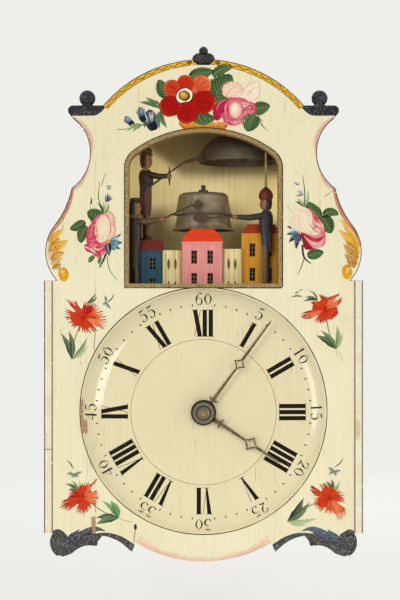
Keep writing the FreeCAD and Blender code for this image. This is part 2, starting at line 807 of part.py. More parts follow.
def crossed_out(blank, x, z, y0, y1, window_r):
    """Cuts four windows out of a wheel and leaves its hub and spokes."""
    window = tube_y(x, z, y0, y1, window_r, WHEEL_HUB_R)
    half = SPOKE_W / 2
    spokes = [box(x - window_r, x + window_r, y0, y1, z - half, z + half),
              box(x - half, x + half, y0, y1, z - window_r, z + window_r)]
    return blank.cut(window.cut(spokes))


def toothed_wheel(teeth, module, x, z, plane_y, phase, thick, bore):
    y0 = plane_y - thick / 2
    y1 = plane_y + thick / 2
    blank = slab(tooth_ring(teeth, module, x, z, phase), y0, y1).cut(pin_y(x, z, y0, y1, bore))
    window_r = teeth * module / 2 - (DEDENDUM + RIM_SHARE) * module
    return crossed_out(blank, x, z, y0, y1, window_r)


def lantern(leaves, module, x, z, plane_y, phase, wheel_t, cheek, core_r):
    """A lantern pinion: two cheeks joined by round pins, the gap between two pins at the phase angle."""
    pitch = leaves * module / 2
    pin_r = TRUNDLE * module
    half = wheel_t / 2 + LANTERN_CLEAR
    pieces = []
    for y in (plane_y - half - cheek, plane_y + half):
        pieces.append(pin_y(x, z, y, y + cheek, pitch + 1.6 * pin_r))
    for i in range(leaves):
        angle = phase + math.pi / leaves + 2 * math.pi * i / leaves
        pieces.append(pin_y(x + pitch * math.cos(angle), z + pitch * math.sin(angle),
                            plane_y - half - cheek / 2, plane_y + half + cheek / 2, pin_r))
    pieces.append(pin_y(x, z, plane_y - half, plane_y + half, core_r))
    return pieces


def arbor(x, z, front_r=PIVOT_R, rear_r=PIVOT_R, front_end=FRONT_BAR_FACE_Y, rear_end=REAR_BAR_BACK_Y):
    """A shaft with a shoulder between the bars and a pivot in each of them."""
    return [pin_y(x, z, FRONT_BAR_Y + END_PLAY, REAR_BAR_Y - END_PLAY, ARBOR_R),
            pin_y(x, z, front_end, FRONT_BAR_Y + 2 * END_PLAY, front_r),
            pin_y(x, z, REAR_BAR_Y - 2 * END_PLAY, rear_end, rear_r)]


def sprocket(x, z, plane_y):
    """A chain wheel: a spiked drum between two flanges."""
    y0 = plane_y - SPROCKET_W / 2
    y1 = plane_y + SPROCKET_W / 2
    pieces = [pin_y(x, z, y0, y1, SPROCKET_R),
              pin_y(x, z, y0, y0 + SPROCKET_FLANGE_T, SPROCKET_FLANGE_R),
              pin_y(x, z, y1 - SPROCKET_FLANGE_T, y1, SPROCKET_FLANGE_R)]
    for i in range(SPROCKET_SPIKES):
        angle = 2 * math.pi * i / SPROCKET_SPIKES
        out = V(math.cos(angle), 0, math.sin(angle))
        foot = V(x, plane_y, z)
        pieces.append(rod(foot + out * (SPROCKET_R - 1), foot + out * SPROCKET_FLANGE_R, SPIKE_R))
    return pieces


UP = math.pi / 2
DOWN = -math.pi / 2


def great_wheel():
    z = great_z()
    shaft = united(arbor(0, z) + sprocket(0, z, train_y(SPROCKET_PLANE)))
    wheel = toothed_wheel(GREAT_TEETH, GREAT_MODULE, 0, z, train_y(GREAT_PLANE), UP, WHEEL_T, ARBOR_R)
    return [shaft, wheel]


def centre_wheel():
    z = centre_z()
    pinion = lantern(CENTRE_LEAVES, GREAT_MODULE, 0, z, train_y(GREAT_PLANE), DOWN, WHEEL_T,
                     LANTERN_CHEEK, ARBOR_R)
    front = minute_hand_y() + HAND_T
    shaft = united(arbor(0, z, front_r=CENTRE_FRONT_R, front_end=front) + pinion)
    wheel = toothed_wheel(CENTRE_TEETH, CENTRE_MODULE, 0, z, train_y(CENTRE_PLANE), UP, WHEEL_T, ARBOR_R)
    return [shaft, wheel]


def third_wheel():
    z = third_z()
    pinion = lantern(THIRD_LEAVES, CENTRE_MODULE, 0, z, train_y(CENTRE_PLANE), DOWN, WHEEL_T,
                     LANTERN_CHEEK, ARBOR_R)
    wheel = toothed_wheel(THIRD_TEETH, THIRD_MODULE, 0, z, train_y(THIRD_PLANE), UP, WHEEL_T, ARBOR_R)
    return [united(arbor(0, z) + pinion), wheel]


def escape_wheel():
    z = escape_z()
    pinion = lantern(ESCAPE_LEAVES, THIRD_MODULE, 0, z, train_y(THIRD_PLANE), DOWN, WHEEL_T,
                     LANTERN_CHEEK, ARBOR_R)
    points = []
    step = 2 * math.pi / ESCAPE_TEETH
    for i in range(ESCAPE_TEETH):
        for radius, share in ((ESCAPE_ROOT_R, 0.0), (ESCAPE_R, 0.62), (ESCAPE_ROOT_R, 0.70)):
            angle = (i + share) * step
            points.append((radius * math.cos(angle), z + radius * math.sin(angle)))
    y0 = train_y(ESCAPE_PLANE) - WHEEL_T / 2
    y1 = y0 + WHEEL_T
    blank = slab(points, y0, y1).cut(pin_y(0, z, y0, y1, ARBOR_R))
    return [united(arbor(0, z) + pinion), crossed_out(blank, 0, z, y0, y1, ESCAPE_ROOT_R - 2)]


def pallet_point(radius, angle, side):
    turn = math.radians(angle)
    return (side * radius * math.sin(turn), escape_z() + radius * math.cos(turn))


def anchor():
    """The pallet arbor with its anchor and the crutch that holds the pendulum rod."""
    z = anchor_z()
    y = train_y(ESCAPE_PLANE)
    half = [
        (0.0, z + 3.5),
        (bow((0.0, z + 3.5), pallet_point(PALLET_R + 4.5, PALLET_ANGLE - 8, 1), 3.0),
         pallet_point(PALLET_R + 4.5, PALLET_ANGLE - 8, 1)),
        pallet_point(PALLET_R + 2.6, PALLET_ANGLE + 7, 1),
        pallet_point(PALLET_R, PALLET_ANGLE, 1),
        pallet_point(PALLET_R + 2.4, PALLET_ANGLE - 9, 1),
        (bow(pallet_point(PALLET_R + 2.4, PALLET_ANGLE - 9, 1), (0.0, z - 3.0), -2.0), (0.0, z - 3.0)),
    ]
    pallets = slab(both_sides(half), y - WHEEL_T / 2, y + WHEEL_T / 2)
    rear_end = REAR_BAR_BACK_Y + 2.6
    crutch_y = rear_end - CRUTCH_R
    low = z - CRUTCH_DROP
    inner = ROD_R + SLIP
    outer = inner + FORK_W
    fork = box(-outer, outer, crutch_y - FORK_W / 2, rod_y() + ROD_R + 1, low - FORK_W, low + FORK_W)
    slot = box(-inner, inner, crutch_y + FORK_W / 2, rod_y() + ROD_R + 1, low - FORK_W, low + FORK_W)
    crutch = [pin_z(0, crutch_y, low, z, CRUTCH_R), fork.cut(slot)]
    return united(arbor(0, z, rear_end=rear_end) + [pallets] + crutch)


def rod_y():
    return BACK_FRONT_Y - 5.5


def suspension_stud():
    """The pin in the back panel that the pendulum hangs on."""
    z = anchor_z()
    head = pin_y(0, z, rod_y() - 2.6, rod_y() - 1.4, STUD_R + 1)
    return united([pin_y(0, z, 0, rod_y() - 2, STUD_R), head])


def bob_z():
    return anchor_z() - PENDULUM_LENGTH


def pendulum_rod():
    """Wire with a loop at the top and a rating nut below the bob."""
    z = anchor_z()
    y = rod_y()
    loop_r = STUD_R + RUN + 0.9
    eye = tube_y(0, z, y - 0.9, y + 0.9, loop_r, STUD_R + RUN)
    foot = bob_z() - BOB_R
    wire = pin_z(0, y, foot - 6, z - loop_r + 0.3, ROD_R)
    nut = pin_z(0, y, foot - 4, foot - 0.5, 2.6)
    return united([eye, wire, nut])


def pendulum_bob():
    half = BOB_T / 2
    rim = 0.8
    mid_r, mid_drop = on_arc(BOB_R, half - rim, 0.5)
    lens = turned_y([(0.0, -half), ((mid_r, mid_drop - half), (BOB_R, -rim)),
                     (BOB_R, rim), ((mid_r, half - mid_drop), (0.0, half))], 0, rod_y(), bob_z())
    return lens.cut(pin_z(0, rod_y(), bob_z() - BOB_R - 1, bob_z() + BOB_R + 1, ROD_R))


def strike_wheel(side, pin_count):
    """A striking train's great wheel, with its chain wheel and the pins that lift the hammers."""
    x = side * TRAIN_X
    z = strike_z()
    y = train_y(STRIKE_PLANE)
    shaft = united(arbor(x, z) + sprocket(x, z, train_y(STRIKE_SPROCKET_PLANE)))
    wheel = toothed_wheel(STRIKE_TEETH, STRIKE_MODULE, x, z, y, DOWN, WHEEL_T, ARBOR_R)
    face = y - WHEEL_T / 2
    pins = []
    for i in range(pin_count):
        angle = UP / 2 + 2 * math.pi * (i + 0.5) / pin_count
        px = x + STRIKE_PIN_CIRCLE * math.cos(angle)
        pz = z + STRIKE_PIN_CIRCLE * math.sin(angle)
        pins.append(pin_y(px, pz, face - STRIKE_PIN_LENGTH, face + WHEEL_T / 2, STRIKE_PIN_R))
    carrier = tube_y(x, z, face, face + WHEEL_T, STRIKE_PIN_CIRCLE + 2, STRIKE_PIN_CIRCLE - 2)
    return [shaft, united([wheel, carrier] + pins)]


def fly(side):
    """The fan that slows a striking train."""
    x = side * TRAIN_X
    z = fly_z()
    pinion = lantern(FLY_LEAVES, STRIKE_MODULE, x, z, train_y(STRIKE_PLANE), UP, WHEEL_T,
                     LANTERN_CHEEK, ARBOR_R)
    y = train_y(FLY_PLANE)
    vane = box(x - FLY_R, x + FLY_R, y - FLY_W / 2, y + FLY_W / 2, z - FLY_T / 2, z + FLY_T / 2)
    hub = pin_y(x, z, y - FLY_W / 2, y + FLY_W / 2, ARBOR_R + 1.2)
    fan = united([vane, hub]).cut(pin_y(x, z, y - FLY_W, y + FLY_W, ARBOR_R))
    return [united(arbor(x, z) + pinion), fan]


def motion_z():
    return DIAL_Z - mesh_distance(MOTION_TEETH, CANNON_LEAVES, MOTION_MODULE)


def cannon_plane():
    return FRONT_BAR_FACE_Y - CANNON_BACK - LANTERN_THIN - LANTERN_CLEAR - MOTION_WHEEL_T / 2


def hour_plane():
    return FRONT_BAR_FACE_Y - HOUR_WHEEL_FORWARD


def dial_top_y():
    return SHIELD_Y - DIAL_HEIGHT


def hour_hand_y():
    return dial_top_y() - HOUR_HAND_FORWARD


def minute_hand_y():
    return dial_top_y() - MINUTE_HAND_FORWARD


def motion_stud():
    return pin_y(0, motion_z(), FRONT_BAR_Y, hour_plane() - 2.4, MOTION_STUD_R)


def motion_wheel():
    """The wheel and pinion between the minute and hour hands."""
    z = motion_z()
    bore = MOTION_STUD_R + RUN
    wheel = toothed_wheel(MOTION_TEETH, MOTION_MODULE, 0, z, cannon_plane(), UP, MOTION_WHEEL_T, bore)
    pieces = lantern(MOTION_LEAVES, HOUR_MODULE, 0, z, hour_plane(), UP, MOTION_WHEEL_T,
                     LANTERN_THIN, MOTION_STUD_R + 1)
    sleeve = pin_y(0, z, cannon_plane(), hour_plane(), MOTION_STUD_R + 1)
    hole = pin_y(0, z, FRONT_BAR_FACE_Y, SHIELD_BACK_Y, bore)
    return united([wheel, sleeve] + pieces).cut(hole)


def hour_wheel():
    """The hour hand's wheel on its pipe through the dial."""
    y = hour_plane()
    wheel = toothed_wheel(HOUR_TEETH, HOUR_MODULE, 0, DIAL_Z, y, DOWN, MOTION_WHEEL_T, CANNON_R + RUN)
    pipe = tube_y(0, DIAL_Z, y, hour_hand_y() - HAND_T, HOUR_PIPE_R, CANNON_R + RUN)
    return united([wheel, pipe])


def cannon_pinion():
    """The minute hand's pipe, held on the centre arbor by friction, with a square end for the hand."""
    pieces = lantern(CANNON_LEAVES, MOTION_MODULE, 0, DIAL_Z, cannon_plane(), DOWN, MOTION_WHEEL_T,
                     LANTERN_THIN, CANNON_R)
    front = minute_hand_y() + HAND_T / 2
    back = cannon_plane() + MOTION_WHEEL_T / 2 + LANTERN_CLEAR + LANTERN_THIN
    pipe = pin_y(0, DIAL_Z, back, front, CANNON_R)
    out = minute_hand_y() - HAND_T / 2 - HAND_NUT_T - SQUARE_OUT
    square = box(-SQUARE_HALF, SQUARE_HALF, out, front, DIAL_Z - SQUARE_HALF, DIAL_Z + SQUARE_HALF)
    bore = pin_y(0, DIAL_Z, back + 1, minute_hand_y() + HAND_T - END_PLAY, CENTRE_FRONT_R + RUN)
    return united(pieces + [pipe, square]).cut(bore)


def hand_blade(y, length, boss_r, barb, loop, loop_half_w, stem):
    """A flat hand pointing up: boss, stem with a crossed barb, open lozenge and blade."""
    y0 = y - HAND_T / 2
    y1 = y + HAND_T / 2
    start, end = loop
    middle = (start + end) / 2
    frame = 2.1

    def lift(points):
        return [(p[0], DIAL_Z + p[1]) for p in points]

    def lozenge(inset):
        low = (0.0, DIAL_Z + start + inset)
        right = (loop_half_w - inset, DIAL_Z + middle)
        high = (0.0, DIAL_Z + end - inset)
        half = [high, (bow(high, right, -0.9), right), (bow(right, low, -0.9), low)]
        return slab(both_sides(half), y0, y1)

    base, tip = stem
    pieces = [
        pin_y(0, DIAL_Z, y0, y1, boss_r),
        slab(lift([(-base / 2, 0.0), (-tip / 2, start + 1), (tip / 2, start + 1), (base / 2, 0.0)]), y0, y1),
        slab(lift([(-5.6, barb + 1.6), (0.0, barb + 1.6), (5.6, barb + 1.6), (1.4, barb - 1.4),
                   (-1.4, barb - 1.4)]), y0, y1),
        lozenge(0).cut(lozenge(frame)),
        slab(lift([(-1.25, end - 1.6), (-0.75, length - 4), (0.0, length), (0.75, length - 4),
                   (1.25, end - 1.6)]), y0, y1),
    ]
    return united(pieces)


def about_dial(solid, angle):
    solid.rotate(V(0, 0, DIAL_Z), V(0, 1, 0), angle)
    return solid


def hour_hand():
    y = hour_hand_y()
    blade = hand_blade(y, HOUR_LENGTH, HOUR_BOSS_R, 17.0, (42.0, 58.0), 7.0, (4.4, 2.0))
    boss = pin_y(0, DIAL_Z, y - HAND_T / 2, y + HOUR_BOSS_T, HOUR_BOSS_R)
    hole = pin_y(0, DIAL_Z, y - HAND_T, y + HOUR_BOSS_T, HOUR_PIPE_R)
    return about_dial(united([blade, boss]).cut(hole), HOUR_ANGLE)


def minute_hand():
    y = minute_hand_y()
    blade = hand_blade(y, MINUTE_LENGTH, MINUTE_BOSS_R, 14.0, (47.0, 60.5), 6.3, (3.8, 1.7))
    hole = box(-SQUARE_HALF, SQUARE_HALF, y - HAND_T, y + HAND_T, DIAL_Z - SQUARE_HALF, DIAL_Z + SQUARE_HALF)
    return about_dial(blade, MINUTE_ANGLE).cut(hole)


def hand_nut():
    """The domed collar that holds the minute hand on its square."""
    y = minute_hand_y() - HAND_T / 2
    rim = 0.8
    mid_r, mid_drop = on_arc(HAND_NUT_R, HAND_NUT_T - rim, 0.5)
    dome = turned_y([(0.0, 0.0), (HAND_NUT_R, 0.0), (HAND_NUT_R, rim),
                     ((mid_r, HAND_NUT_T - mid_drop), (0.0, HAND_NUT_T))], 0, y, DIAL_Z)
    return dome.cut(box(-SQUARE_HALF, SQUARE_HALF, y - HAND_NUT_T, y, DIAL_Z - SQUARE_HALF,
                        DIAL_Z + SQUARE_HALF))


def bell(radius, height, form, x, rise):
    """A cast bell with a flared rim and a round shoulder, bored for its post."""
    w = BELL_WALL
    flare, foot, top, shoulder, crown = [(radius * share[0], height * share[1]) for share in form]
    slant = math.sqrt(0.5) * w
    profile = [
        (radius, 0.0),
        (flare, foot),
        top,
        (shoulder, crown),
        (POST_R, height),
        (POST_R, height - w),
        (crown[0], height - w),
        ((shoulder[0] - slant, shoulder[1] - slant), (top[0] - w, top[1])),
        (foot[0] - w, foot[1]),
        ((flare[0] - w, flare[1]), (radius - 0.8 * w, 0.0)),
    ]
    return turned_z(profile, x, BELL_Y, DIAL_Z + rise)


def bell_post():
    """The post on the stage floor, with a collar under the lower bell."""
    collar_z = DIAL_Z + LOWER_BELL_RISE + LOWER_BELL_H - BELL_WALL
    return united([
        pin_z(0, BELL_Y, FLOOR_Z, DIAL_Z + POST_TOP, POST_R),
        taper(V(0, BELL_Y, FLOOR_Z), V(0, BELL_Y, FLOOR_Z + POST_FOOT_T), POST_FOOT_R, COLLAR_R),
        pin_z(0, BELL_Y, collar_z - COLLAR_T, collar_z, COLLAR_R),
    ])


def bell_post_nut():
    """The sleeve between the two small bells and the nut on top of them."""
    sleeve = pin_z(0, BELL_Y, DIAL_Z + LOWER_BELL_RISE + LOWER_BELL_H,
                   DIAL_Z + UPPER_BELL_RISE + UPPER_BELL_H - BELL_WALL, COLLAR_R)
    nut_z = DIAL_Z + UPPER_BELL_RISE + UPPER_BELL_H
    corners = [(NUT_R * math.cos(a * math.pi / 3), BELL_Y + NUT_R * math.sin(a * math.pi / 3))
               for a in range(6)]
    nut = block(corners, nut_z, nut_z + NUT_T)
    post = pin_z(0, BELL_Y, FLOOR_Z, DIAL_Z + POST_TOP, POST_R)
    return [sleeve.cut(post), nut.cut(post)]


def large_bell_screw():
    """The screw that hangs the large bell from the roof, and its distance washer."""
    x = LARGE_BELL_X
    crown = DIAL_Z + LARGE_BELL_RISE + LARGE_BELL_H
    shank = pin_z(x, BELL_Y, crown - BELL_WALL - COLLAR_T, ROOF_Z + ROOF_T, POST_R)
    head = pin_z(x, BELL_Y, crown - BELL_WALL - COLLAR_T, crown - BELL_WALL, COLLAR_R)
    washer = pin_z(x, BELL_Y, crown, ROOF_Z, COLLAR_R).cut(pin_z(x, BELL_Y, crown, ROOF_Z, POST_R))
    return [united([shank, head]), washer]


def house_box(house, top):
    left, right, depth, thick = house
    y = SHIELD_BACK_Y + depth
    return box(left, right, y, y + thick, FLOOR_Z, DIAL_Z + top)


def window_places(house, layout):
    """Middle and sill of each window, at shares of a house's width and heights above the dial centre."""
    left, right, _, _ = house
    columns, rows, _ = layout
    return [(left + share * (right - left), DIAL_Z + rise) for share in columns for rise in rows]


def windows(house, layout):
    """Shallow window recesses in a house's front."""
    y = SHIELD_BACK_Y + house[2]
    return [box(x - WINDOW_W / 2, x + WINDOW_W / 2, y - 1, y + WINDOW_DEEP, z, z + layout[2])
            for x, z in window_places(house, layout)]


def slits(wall, layout):
    """Arrow slits pointed at both ends, in a wall's curved front."""
    y = SHIELD_BACK_Y + wall[2]
    cuts = []
    for x, z in window_places(wall, layout):
        foot = (x, z)
        tip = (x, z + layout[2])
        almond = [foot, (bow(foot, tip, SLIT_W / 2), tip), (bow(tip, foot, SLIT_W / 2), foot)]
        cuts.append(slab(almond, y - 1, y + WALL_BULGE / 2 + WINDOW_DEEP))
    return cuts


def hip_roof(house, wall_top, roof_top, hips, bends=()):
    """A roof that leans in from the eaves by the left, right, front and back hips.

    A bend is a share of the height and the share of the hips that is reached there.
    """
    left, right, depth, thick = house
    y = SHIELD_BACK_Y + depth

    def ring(x0, x1, y0, y1, z):
        corners = [V(x0, y0, z), V(x1, y0, z), V(x1, y1, z), V(x0, y1, z)]
        return Part.makePolygon(corners + corners[:1])

    eaves = (left - EAVES, right + EAVES, y - EAVES, y + thick)
    ridge = (left + hips[0], right - hips[1], y + hips[2], y + thick - hips[3])
    rings = []
    for height, reached in ((0.0, 0.0),) + tuple(bends) + ((1.0, 1.0),):
        sides = [low + reached * (high - low) for low, high in zip(eaves, ridge)]
        rings.append(ring(*sides, DIAL_Z + wall_top + height * (roof_top - wall_top)))
    return Part.makeLoft(rings, True, True)


def house_blue():
    roof = hip_roof(BLUE_HOUSE, BLUE_WALL_TOP, BLUE_ROOF_TOP, (0.6, 0.6, 4.0, 2.0))
    house = united([house_box(BLUE_HOUSE, BLUE_WALL_TOP), roof])
    cuts = windows(BLUE_HOUSE, BLUE_WINDOWS)
    return house.cut(cuts + arbor_holes(FLOOR_Z, DIAL_Z + BLUE_ROOF_TOP, ("upper",)))


def house_pink():
    left, right, depth, thick = PINK_HOUSE
    y = SHIELD_BACK_Y + depth
    roof = hip_roof(PINK_HOUSE, PINK_WALL_TOP, PINK_ROOF_TOP, (9.0, 8.5, 1.5, 0.5), PINK_ROOF_BENDS)
    cornice = box(left - EAVES / 2, right + EAVES / 2, y - EAVES, y + thick,
                  DIAL_Z + PINK_WALL_TOP - CORNICE_T, DIAL_Z + PINK_WALL_TOP)
    house = united([house_box(PINK_HOUSE, PINK_WALL_TOP), cornice, roof])
    return house.cut(windows(PINK_HOUSE, PINK_UPPER_WINDOWS) + windows(PINK_HOUSE, PINK_LOWER_WINDOWS))


def house_yellow():
    roof = hip_roof(YELLOW_HOUSE, YELLOW_WALL_TOP, YELLOW_ROOF_TOP, (6.0, 3.0, 4.0, 2.0))
    house = united([house_box(YELLOW_HOUSE, YELLOW_WALL_TOP), roof])
    return house.cut(windows(YELLOW_HOUSE, YELLOW_WINDOWS))


def town_wall(wall, top):
    """A length of town wall with a gently curved front and arrow slits."""
    left, right, depth, thick = wall
    y = SHIELD_BACK_Y + depth
    front = (left, y + WALL_BULGE)
    other = (right, y + WALL_BULGE)
    path = [front, (bow(front, other, -WALL_BULGE), other), (right, y + thick), (left, y + thick)]
    return block(path, FLOOR_Z, DIAL_Z + top).cut(slits(wall, WALL_SLITS))


def ellipse_ring(x, y, z, half_x, half_y):
    """An ellipse seen from above, starting on its +X side."""
    if half_x > half_y:
        edge = Part.Ellipse(V(x + half_x, y, z), V(x, y + half_y, z), V(x, y, z)).toShape()
    elif half_x < half_y:
        curve = Part.Ellipse(V(x, y + half_y, z), V(x - half_x, y, z), V(x, y, z))
        edge = curve.toShape(-math.pi / 2, 3 * math.pi / 2)
    else:
        edge = Part.Circle(V(x, y, z), V(0, 0, 1), half_x).toShape()
    return Part.Wire(edge)


def loft_rings(rings):
    return Part.makeLoft([ellipse_ring(*ring) for ring in rings], True, False)


def figure_body(s):
    """A carved striker facing +X, standing on a round base at the origin, arms held out."""
    chin = chin_rise(s)
    collar = chin - NECK_H
    waist = s.chest * WAIST_SHARE
    middle = (s.hips + collar) / 2
    coat = loft_rings([
        (-0.4, 0, s.hips, waist, WAIST_SIDE), (0, 0, middle, s.chest, COAT_SIDE),
        (-0.4, 0, collar - NECK_H, s.chest * 0.9, SHOULDER_SIDE), (-0.4, 0, collar + 1.5, *COLLAR_HALF),
    ])
    skirt = s.skirt * waist
    tails = loft_rings([(skirt * 0.8 - waist, 0, s.tail, skirt * 0.8, TAIL_SIDE),
                        (skirt - waist, 0, s.hips + NECK_H, skirt, WAIST_SIDE - 0.1)])
    seat = loft_rings([(-0.3, 0, s.knee, s.breeches * 0.78, TAIL_SIDE),
                       (-0.3, 0, (s.knee + s.hips) / 2, s.breeches, WAIST_SIDE),
                       (-0.4, 0, s.hips + 1, waist * 0.95, TAIL_SIDE)])
    neck = pin_z(0, 0, collar - NECK_H, chin + NECK_H, NECK_R)
    base = pin_z(0, 0, 0, FIGURE_BASE_T, FIGURE_BASE_R)
    pieces = [coat, tails, seat, neck, base] + head(s, chin)
    fist = V(s.reach, s.hand_side, s.hand_rise)
    upper_r, elbow_r, cuff_r = SLEEVE_R
    for side in (-1, 1):
        pieces += leg(s, -side * STRIDE, side * LEG_SIDE)
        shoulder = V(-0.2, side * SHOULDER_HALF, collar - SHOULDER_DROP)
        elbow = shoulder * 0.45 + fist * 0.55 + V(0, side, -1.2)
        pieces.append(limb(shoulder, elbow, upper_r, elbow_r))
        pieces.append(limb(elbow, fist + V(-FIST_R, side * 0.4, 0), elbow_r - 0.1, cuff_r))
    pieces.append(Part.makeSphere(FIST_R, fist))
    return pieces


def leg(s, x, y):
    """A leg from the base to the knee, and its shoe."""
    foot = FIGURE_BASE_T
    toe, half_w = SHOE_HALF
    calf = loft_rings([(x, y, foot - 0.6, s.leg * 0.8, LEG_HALF_W - 0.2),
                       (x, y, s.knee * 0.6, s.leg, LEG_HALF_W),
                       (x * 0.7, y, s.knee + 2, s.leg, LEG_HALF_W)])
    shoe = loft_rings([(x + 1.2, y, foot - 0.8, toe, half_w),
                       (x + 1.0, y, foot + 2.4, toe * 0.6, half_w - 0.3)])
    return [calf, shoe]


def head(s, chin):
    """A plain head with a small nose, and hair that covers its back."""
    half_x, half_y = HEAD_HALF
    hair_x, hair_y = HAIR_HALF
    face = loft_rings([(0.6, 0, chin - 0.8, half_x * 0.5, half_y * 0.58),
                       (0.8, 0, chin + s.face * 0.25, half_x * 0.86, half_y * 0.9),
                       (0.3, 0, chin + s.face * 0.62, half_x, half_y),
                       (0.0, 0, chin + s.face + 1, half_x * 0.9, half_y * 0.95)])
    hair = loft_rings([(-1.9, 0, chin - 0.8, hair_x * 0.55, hair_y * 0.7),
                       (-1.6, 0, chin + s.face * 0.35, hair_x * 0.88, hair_y * 0.95),
                       (-1.0, 0, chin + s.face + 0.6, hair_x, hair_y)])
    bridge = V(half_x - 0.8, 0, chin + s.face * 0.56)
    nose = spun([(0.0, 0.0), (1.2, 0.0), (0.5, NOSE_L), (0.0, NOSE_L)], bridge, bridge + V(1, 0, -0.5))
    return [face, hair, nose]


def chin_rise(s):
    return s.height - s.head


def soft_hat(rise, crown, radius):
    """A soft hat with a rolled brim and a full crown."""
    roll = 0.8
    puff = radius * 0.86
    return turned_z([(0.0, 0.0), (radius - roll, 0.0), ((radius, roll), (radius - roll, 2 * roll)),
                     (puff - roll, 2.2 * roll), ((puff, crown * 0.62), (puff * 0.62, crown * 0.95)),
                     (0.0, crown)], 0.0, 0, rise)


def onion_cap(rise, crown, radius):
    """A cap that swells over its edge and draws in to a point."""
    return turned_z([(0.0, 0.0), (radius * 0.78, 0.0), ((radius * 0.97, crown * 0.16), (radius, crown * 0.36)),
                     ((radius * 0.72, crown * 0.68), (radius * 0.26, crown * 0.90)),
                     (0.08 * radius, crown), (0.0, crown)], 0.0, 0, rise)


# Rises are above a figure's base: hands, hips, end of the coat tails, knees. Head and face run from the
# chin to the top of the hat and to its edge; skirt is the share of the coat that its tails take.
Striker = namedtuple("Striker", "height reach hand_rise hand_side head face hat hat_r chest hips tail skirt "
                                "knee breeches leg side")
FIGURES = {
    "left": Striker(LEFT_FIGURE_H, 25.0, 69.6, 0.0, 15.7, 10.4, soft_hat, 5.6, 5.9, 44.0, 30.0, 1.0,
                    24.0, 4.6, 2.4, 1),
    "right": Striker(RIGHT_FIGURE_H, 29.0, 71.6, 0.0, 20.6, 8.0, onion_cap, 6.6, 6.4, 56.0, 39.5, 0.42,
                     45.0, 4.6, 2.6, -1),
    "upper": Striker(UPPER_FIGURE_H, 22.0, 59.0, -7.0, 18.4, 10.6, soft_hat, 6.6, 6.8, 49.0, 40.0, 0.45,
                     23.0, 5.6, 1.9, 1),
}


def faced(solid, name):
    """Turns a figure piece made facing +X to its own side and sets it in its place."""
    x, y, z = figure_places()[name]
    if FIGURES[name].side < 0:
        solid = mirrored(solid)
    solid.translate(V(x, y, z + SLIP))
    return solid


def figure(name, hammer):
    """A figure bored for its arbor and for the hammer that it holds."""
    s = FIGURES[name]
    chin = chin_rise(s)
    hat = s.hat(chin + s.face, s.head - s.face, s.hat_r)
    body = united(figure_body(s) + [hat])
    hole_top = s.height + 1 if name == "right" else chin
    return faced(body.cut(pin_z(0, 0, -1, hole_top, FIGURE_ARBOR_R)), name).cut(hammer)


def figure_arbor(name, tail_end):
    """The upright shaft through a figure, with a collar and a tail under the stage floor."""
    x, y, z = figure_places()[name]
    chin = chin_rise(FIGURES[name])
    top = ROOF_Z + ROOF_T if name == "right" else z + SLIP + chin
    tail_z = DIAL_Z + TAIL_RISE
    collar_z = CEILING_Z - SLIP - TAIL_COLLAR_T
    end = V(tail_end[0], tail_end[1], tail_z)
    return united([
        pin_z(x, y, tail_z - TAIL_R - 0.4, top, FIGURE_ARBOR_R),
        pin_z(x, y, collar_z, collar_z + TAIL_COLLAR_T, TAIL_COLLAR_R),
        limb(V(x, y, tail_z), end, TAIL_R, TAIL_R * 0.9),
    ])


def tail_ends():
    """Where the tails end, just in front of the striking wheels and above their pins."""
    y = train_y(STRIKE_PLANE) - WHEEL_T / 2 - 2.0
    return {"left": (LEFT_FIGURE_X + 4.6, y), "right": (RIGHT_FIGURE_X + 4.8, y),
            "upper": (-TRAIN_X + 4.0, y)}


def hand_point(name):
    x, y, z = figure_places()[name]
    s = FIGURES[name]
    return V(x + s.side * s.reach, y + s.hand_side, z + SLIP + s.hand_rise)


def hammer_left():
    """A rod with a flat diamond head."""
    hand = hand_point("left")
    y = hand.y
    head_z = DIAL_Z + 188.0
    root = V(-10.0, y, head_z - 1.0)
    head = slab([(-11.0, head_z - 2.0), (-5.0, head_z + 4.6), (0.2, head_z - 0.5), (-5.6, head_z - 5.6)],
                y - 1.5, y + 1.5)
    return united([rod(hand, root, HAMMER_ROD_R), head])


def hammer_right():
    """A rod with a long oval head."""
    hand = hand_point("right")
    y = hand.y
    head_z = DIAL_Z + 175.0
    end = V(0.0, y, head_z)
    oval = Part.Face(Part.Wire(Part.Ellipse(V(6.0, y - 1.5, head_z), V(-1.8, y - 1.5, head_z + 3.5),
                                            V(-1.8, y - 1.5, head_z)).toShape()))
    return united([rod(hand, end, HAMMER_ROD_R), oval.extrude(V(0, 3.0, 0))])


def large_bell_edge(y):
    """Left edge of the large bell's rim at a depth."""
    return LARGE_BELL_X - math.sqrt(LARGE_BELL_R ** 2 - (y - BELL_Y) ** 2)


def hammer_upper():
    """A long rod from the waist past the hands to a club-shaped head, with an upright peg."""
    x, y, z = figure_places()["upper"]
    hand = hand_point("upper")
    head_y = y - 8.0
    waist = V(x + 4.0, y - 6.0, DIAL_Z + 205.0)
    tip = V(large_bell_edge(head_y) - UPPER_HAMMER_GAP, head_y, DIAL_Z + LARGE_BELL_RISE + CLUB_RISE)
    neck = tip - V(CLUB_LENGTH, 0, CLUB_DROP)
    club = limb(neck, tip, 1.2, 2.1)
    share = (hand.x - waist.x) / (neck.x - waist.x)
    above = max(PEG_HALF, waist.z + share * (neck.z - waist.z) + PEG_PROUD - hand.z)
    peg = spun([(0.0, -PEG_HALF), (0.4, -PEG_HALF), (1.4, 0.0), (0.4, above), (0.0, above)],
               hand, hand + V(0, 0, 1))
    return united([rod(waist, neck, HAMMER_ROD_R), club, peg])


